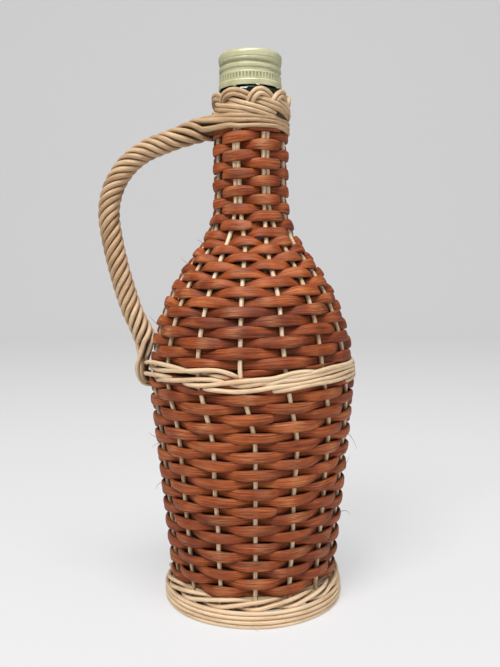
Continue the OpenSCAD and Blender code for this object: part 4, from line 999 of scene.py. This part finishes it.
def make_handle():
    """Six strands laid round a core; they part at the neck and bind it, and hook over the waist band below."""
    side_way = np.array([cos(HANDLE_AZ), sin(HANDLE_AZ), 0.0])
    s = np.linspace(ROPE_END - 4, HANDLE_LEN - ROPE_END + 1, 90)
    r, z, d = handle_line(s)
    outs = outwards(HANDLE_AZ) * sin(d)[:, None] + np.array([0, 0, 1.0]) * cos(d)[:, None]
    cane("handle_heart", ["handle_core"], at(HANDLE_AZ, r, z), outs, round_section(5.4, 14), plait_finish,
         tone=-1.0, seed=180)
    s = np.linspace(-7, 7, 24)
    r, z, d = handle_line(s)
    outs = outwards(HANDLE_AZ) * sin(d)[:, None] + np.array([0, 0, 1.0]) * cos(d)[:, None]
    cane("handle_root", [], at(HANDLE_AZ, r, z - 0.6), outs, round_section(7.6, 16), plait_finish,
         wide=1.0, thick=1.15 - 0.25 * smooth((s + 7) / 14), tone=-1.5, seed=184)
    rope_len = HANDLE_LEN - 2 * ROPE_END
    turns = round(rope_len / LAY_LENGTH * 6) / 6
    ring = CORE_R + 0.45 + STRAND_D / 2 + 0.12
    hook_r = float(side(BAND_S, STAKE_OFF + ROD_SWING)[0]) + ROD_D / 2 + LAY_GAP + STRAND_D / 2
    hook_z = float(side(BAND_S, STAKE_OFF)[1])
    for i in range(6):
        sgn, level = (-1 if i < 3 else 1), [1, 0, -1, -1, 0, 1][i]
        bind_end = 218 if sgn > 0 else 134
        b = np.arange(bind_end, 50, -8.0)
        height = np.interp(HANDLE_AZ + b, BIND_AZ, BIND_LEVELS[1 - level]) if sgn > 0 else \
            BIND_Z + level * BIND_PITCH + BIND_TILT * smooth((b - 90) / 60)
        neck = at(HANDLE_AZ + sgn * b, BIND_R + 0 * b, height)
        neck_out = outwards(HANDLE_AZ + sgn * b)
        t = np.linspace(0, 1, 110)
        pr, pz, pd = handle_line(ROPE_TOP + (rope_len + ROPE_END + 2.5 - ROPE_TOP) * t)
        pr = pr - 1.8 * smooth((t - 1) * rope_len / 16 + 1)
        a = 30 + 60 * i + 360 * turns * t + 50 * (1 - smooth(t * rope_len / 16))
        out = outwards(HANDLE_AZ) * sin(pd)[:, None] + np.array([0, 0, 1.0]) * cos(pd)[:, None]
        away = out * cos(a)[:, None] - side_way * sin(a)[:, None]
        flare = 1 + 0.2 * (1 - smooth(t * rope_len / 14)) + 0.12 * smooth((t - 1) * rope_len / 12 + 1)
        rope = at(HANDLE_AZ, pr, pz) + ring * flare[:, None] * away
        foot_a = (30 + 60 * (i + round(6 * turns))) % 360
        place = [-1, -1, 0, 0, 1, 1][int(round((foot_a - 30) / 60)) % 6] * (STRAND_D + 0.1)
        outer = [-1.5, 2.2, 2.2, -1.5, 1.4, -0.4][int(round((foot_a - 30) / 60)) % 6]
        foot = np.array([at(HANDLE_AZ, qr + outer * share, BAND_Z + qz) + place * side_way
                         for qr, qz, share in ((hook_r + 2.2, 3.2, 1), (hook_r + 2.2, 0, 1),
                                               (hook_r + 1.7, -3, 0.9), (hook_r + 0.2, -5.4, 0.7),
                                               (hook_r - 2.4, -6.2, 0.3), (hook_r - 5.2, -5.4, 0.1))])
        foot_out = np.array([outwards(HANDLE_AZ, -a) for a in (0, 0, 20, 45, 75, 88)])
        path, outs = flow(np.concatenate([neck, rope, foot]), np.concatenate([neck_out, away, foot_out]), 0.8)
        length = len(path)
        x = np.arange(length) * 0.8
        wrap = smooth((x - 0.75 * len(b) * BIND_R * np.radians(8)) / 14)
        thick = 0.86 + 0.31 * wrap
        cane("handle_lay_%d" % (i + 1), ["handle_strand_%d" % (i + 1)], path, outs,
             round_section(STRAND_D, 14), plait_finish, thick, thick,
             tone=0.5 * np.sin(i * 2.2) + 1.8 * smooth((x - 0.7 * x[-1]) / 45), seed=190 + 3 * i)


# ---------------------------------------------------------------- loose fibres
FIBRES = [(-82, 83, 6, 3, 0.9), (-78, 81, 4, -3, 1.2), (-80, 60, 5, -4, 0.8), (82, 84, 7, -7, 1.0), (80, 68, 4, 5, 0.9),
          (84, 44, 9, -4, 1.4), (-72, 180, 6, 3, 1.0), (-78, 170, 6, 4, 0.7), (-84, 140, 7, 5, 1.1), (52, 4, 4, -2, 0.5),
          (2, 2.4, 4, -2, 0.6), (-30, 79, 2, 3, 1.6), (24, 58, 2, -2, 1.3)]


def make_fibres():
    """Fine torn fibres that stand off the canes: each a thread along a curve that rises outwards and curls."""
    for i, (az, z, out, up, curl) in enumerate(FIBRES):
        t = np.linspace(0, 1, 26)
        s = wall_s(z) if z < 112 else np.interp(z, side(np.arange(0, 130.0), STAKE_OFF)[1], np.arange(0, 130.0))
        r0 = float(side(s, STAKE_OFF + 2.0)[0]) if z > 8 else HOOP_R + 0.9
        path = at(az + curl * 4 * np.sin(3 * t + i), r0 - 0.3 + out * t * (1 - 0.3 * t),
                  z + up * t ** 1.5 + 0.5 * curl * np.sin(4 * t))
        cane("loose_fibre_%d" % (i + 1), [], path, outwards(az + 90 + 0 * t), round_section(0.22, 6),
             rod_finish if z < 8 else brown_cane, 1.2 - 0.8 * t, 1.2 - 0.8 * t,
             seed=220 + i)


# ---------------------------------------------------------------- stage
def make_stage():
    """A pale floor that curves up into a backdrop, soft lamps, and the camera at the photograph's place."""
    n = 24
    a = np.linspace(0, 90, n)
    y = np.concatenate([[-2.2], 1.6 + 0.9 * sin(a), [2.5]])
    z = np.concatenate([[0.0], 0.9 - 0.9 * cos(a), [3.2]])
    x = np.array([-3.0, 3.0])
    grid = np.stack([np.repeat(x[None], len(y), 0), np.repeat(y[:, None], 2, 1), np.repeat(z[:, None], 2, 1)], -1)
    verts = grid.reshape(-1, 3) * 1000
    quads, ci, ck = grid_faces(len(y), 2, False)
    quads = quads[:, ::-1]
    floor = fill("studio_floor", verts, quads.ravel(), np.arange(len(quads)) * 4,
                 np.zeros((quads.size, 2)))
    material = bpy.data.materials.new("pale_floor")
    material.use_nodes = True
    tree = material.node_tree
    tree.nodes.clear()
    out = tree.nodes.new("ShaderNodeOutputMaterial")
    diffuse = node(tree, "ShaderNodeBsdfDiffuse", Color=(0.72, 0.72, 0.73, 1)).outputs[0]
    glow = node(tree, "ShaderNodeEmission", Color=(0.86, 0.86, 0.87, 1), Strength=1.0).outputs[0]
    rays = tree.nodes.new("ShaderNodeLightPath")
    share = calc(tree, "MULTIPLY", rays.outputs["Is Camera Ray"], 0.55)
    blend = tree.nodes.new("ShaderNodeMixShader")
    tree.links.new(share, blend.inputs[0])
    tree.links.new(diffuse, blend.inputs[1])
    tree.links.new(glow, blend.inputs[2])
    tree.links.new(blend.outputs[0], out.inputs[0])
    floor.data.materials.append(material)

    world = bpy.data.worlds.new("studio_air")
    bpy.context.scene.world = world
    world.use_nodes = True
    world.node_tree.nodes["Background"].inputs[0].default_value = (1.0, 0.98, 0.95, 1)
    world.node_tree.nodes["Background"].inputs[1].default_value = 0.24

    def lamp(name, place, aim, size, power, colour):
        data = bpy.data.lights.new(name, "AREA")
        data.shape = "RECTANGLE"
        data.size, data.size_y = size
        data.energy = power
        data.color = colour
        obj = bpy.data.objects.new(name, data)
        bpy.context.scene.collection.objects.link(obj)
        z_axis = np.array(place, float) - np.array(aim, float)
        z_axis /= np.linalg.norm(z_axis)
        x_axis = np.cross([0, 0, 1.0], z_axis)
        x_axis /= np.linalg.norm(x_axis)
        y_axis = np.cross(z_axis, x_axis)
        m = np.eye(4)
        m[:3, 0], m[:3, 1], m[:3, 2], m[:3, 3] = x_axis, y_axis, z_axis, place
        obj.matrix_world = Matrix(m.tolist())

    lamp("key_window", (-0.5, -0.95, 1.3), (0, 0, 0.13), (0.6, 0.45), 16, (1.0, 0.99, 0.97))
    lamp("fill_window", (1.1, -0.8, 0.55), (0, 0, 0.13), (0.9, 0.9), 3.5, (0.96, 0.98, 1.0))
    lamp("top_light", (0.05, -0.45, 1.5), (0, 0, 0.12), (0.6, 0.5), 13, (1.0, 1.0, 1.0))

    data = bpy.data.cameras.new("photo_camera")
    data.lens, data.sensor_width, data.sensor_height, data.sensor_fit = 39.79, 36.0, 36.0, "AUTO"
    camera = bpy.data.objects.new("photo_camera", data)
    bpy.context.scene.collection.objects.link(camera)
    tilt, roll = 4.4, -0.33
    ahead = np.array([0, cos(tilt), -sin(tilt)])
    right0, up0 = np.array([1.0, 0, 0]), np.array([0, sin(tilt), cos(tilt)])
    right = right0 * cos(roll) + up0 * sin(roll)
    up = up0 * cos(roll) - right0 * sin(roll)
    m = np.eye(4)
    m[:3, 0], m[:3, 1], m[:3, 2], m[:3, 3] = right, up, -ahead, (-0.00084, -0.377, 0.164)
    camera.matrix_world = Matrix(m.tolist())
    bpy.context.scene.camera = camera


enamel = enamel_finish()
make_stage()
make_glass()
make_cap()
make_liner()
make_stakes()
make_weaving()
make_band()
make_foot()
make_handle()
make_fibres()

scene = bpy.context.scene
scene.view_settings.view_transform = "Standard"
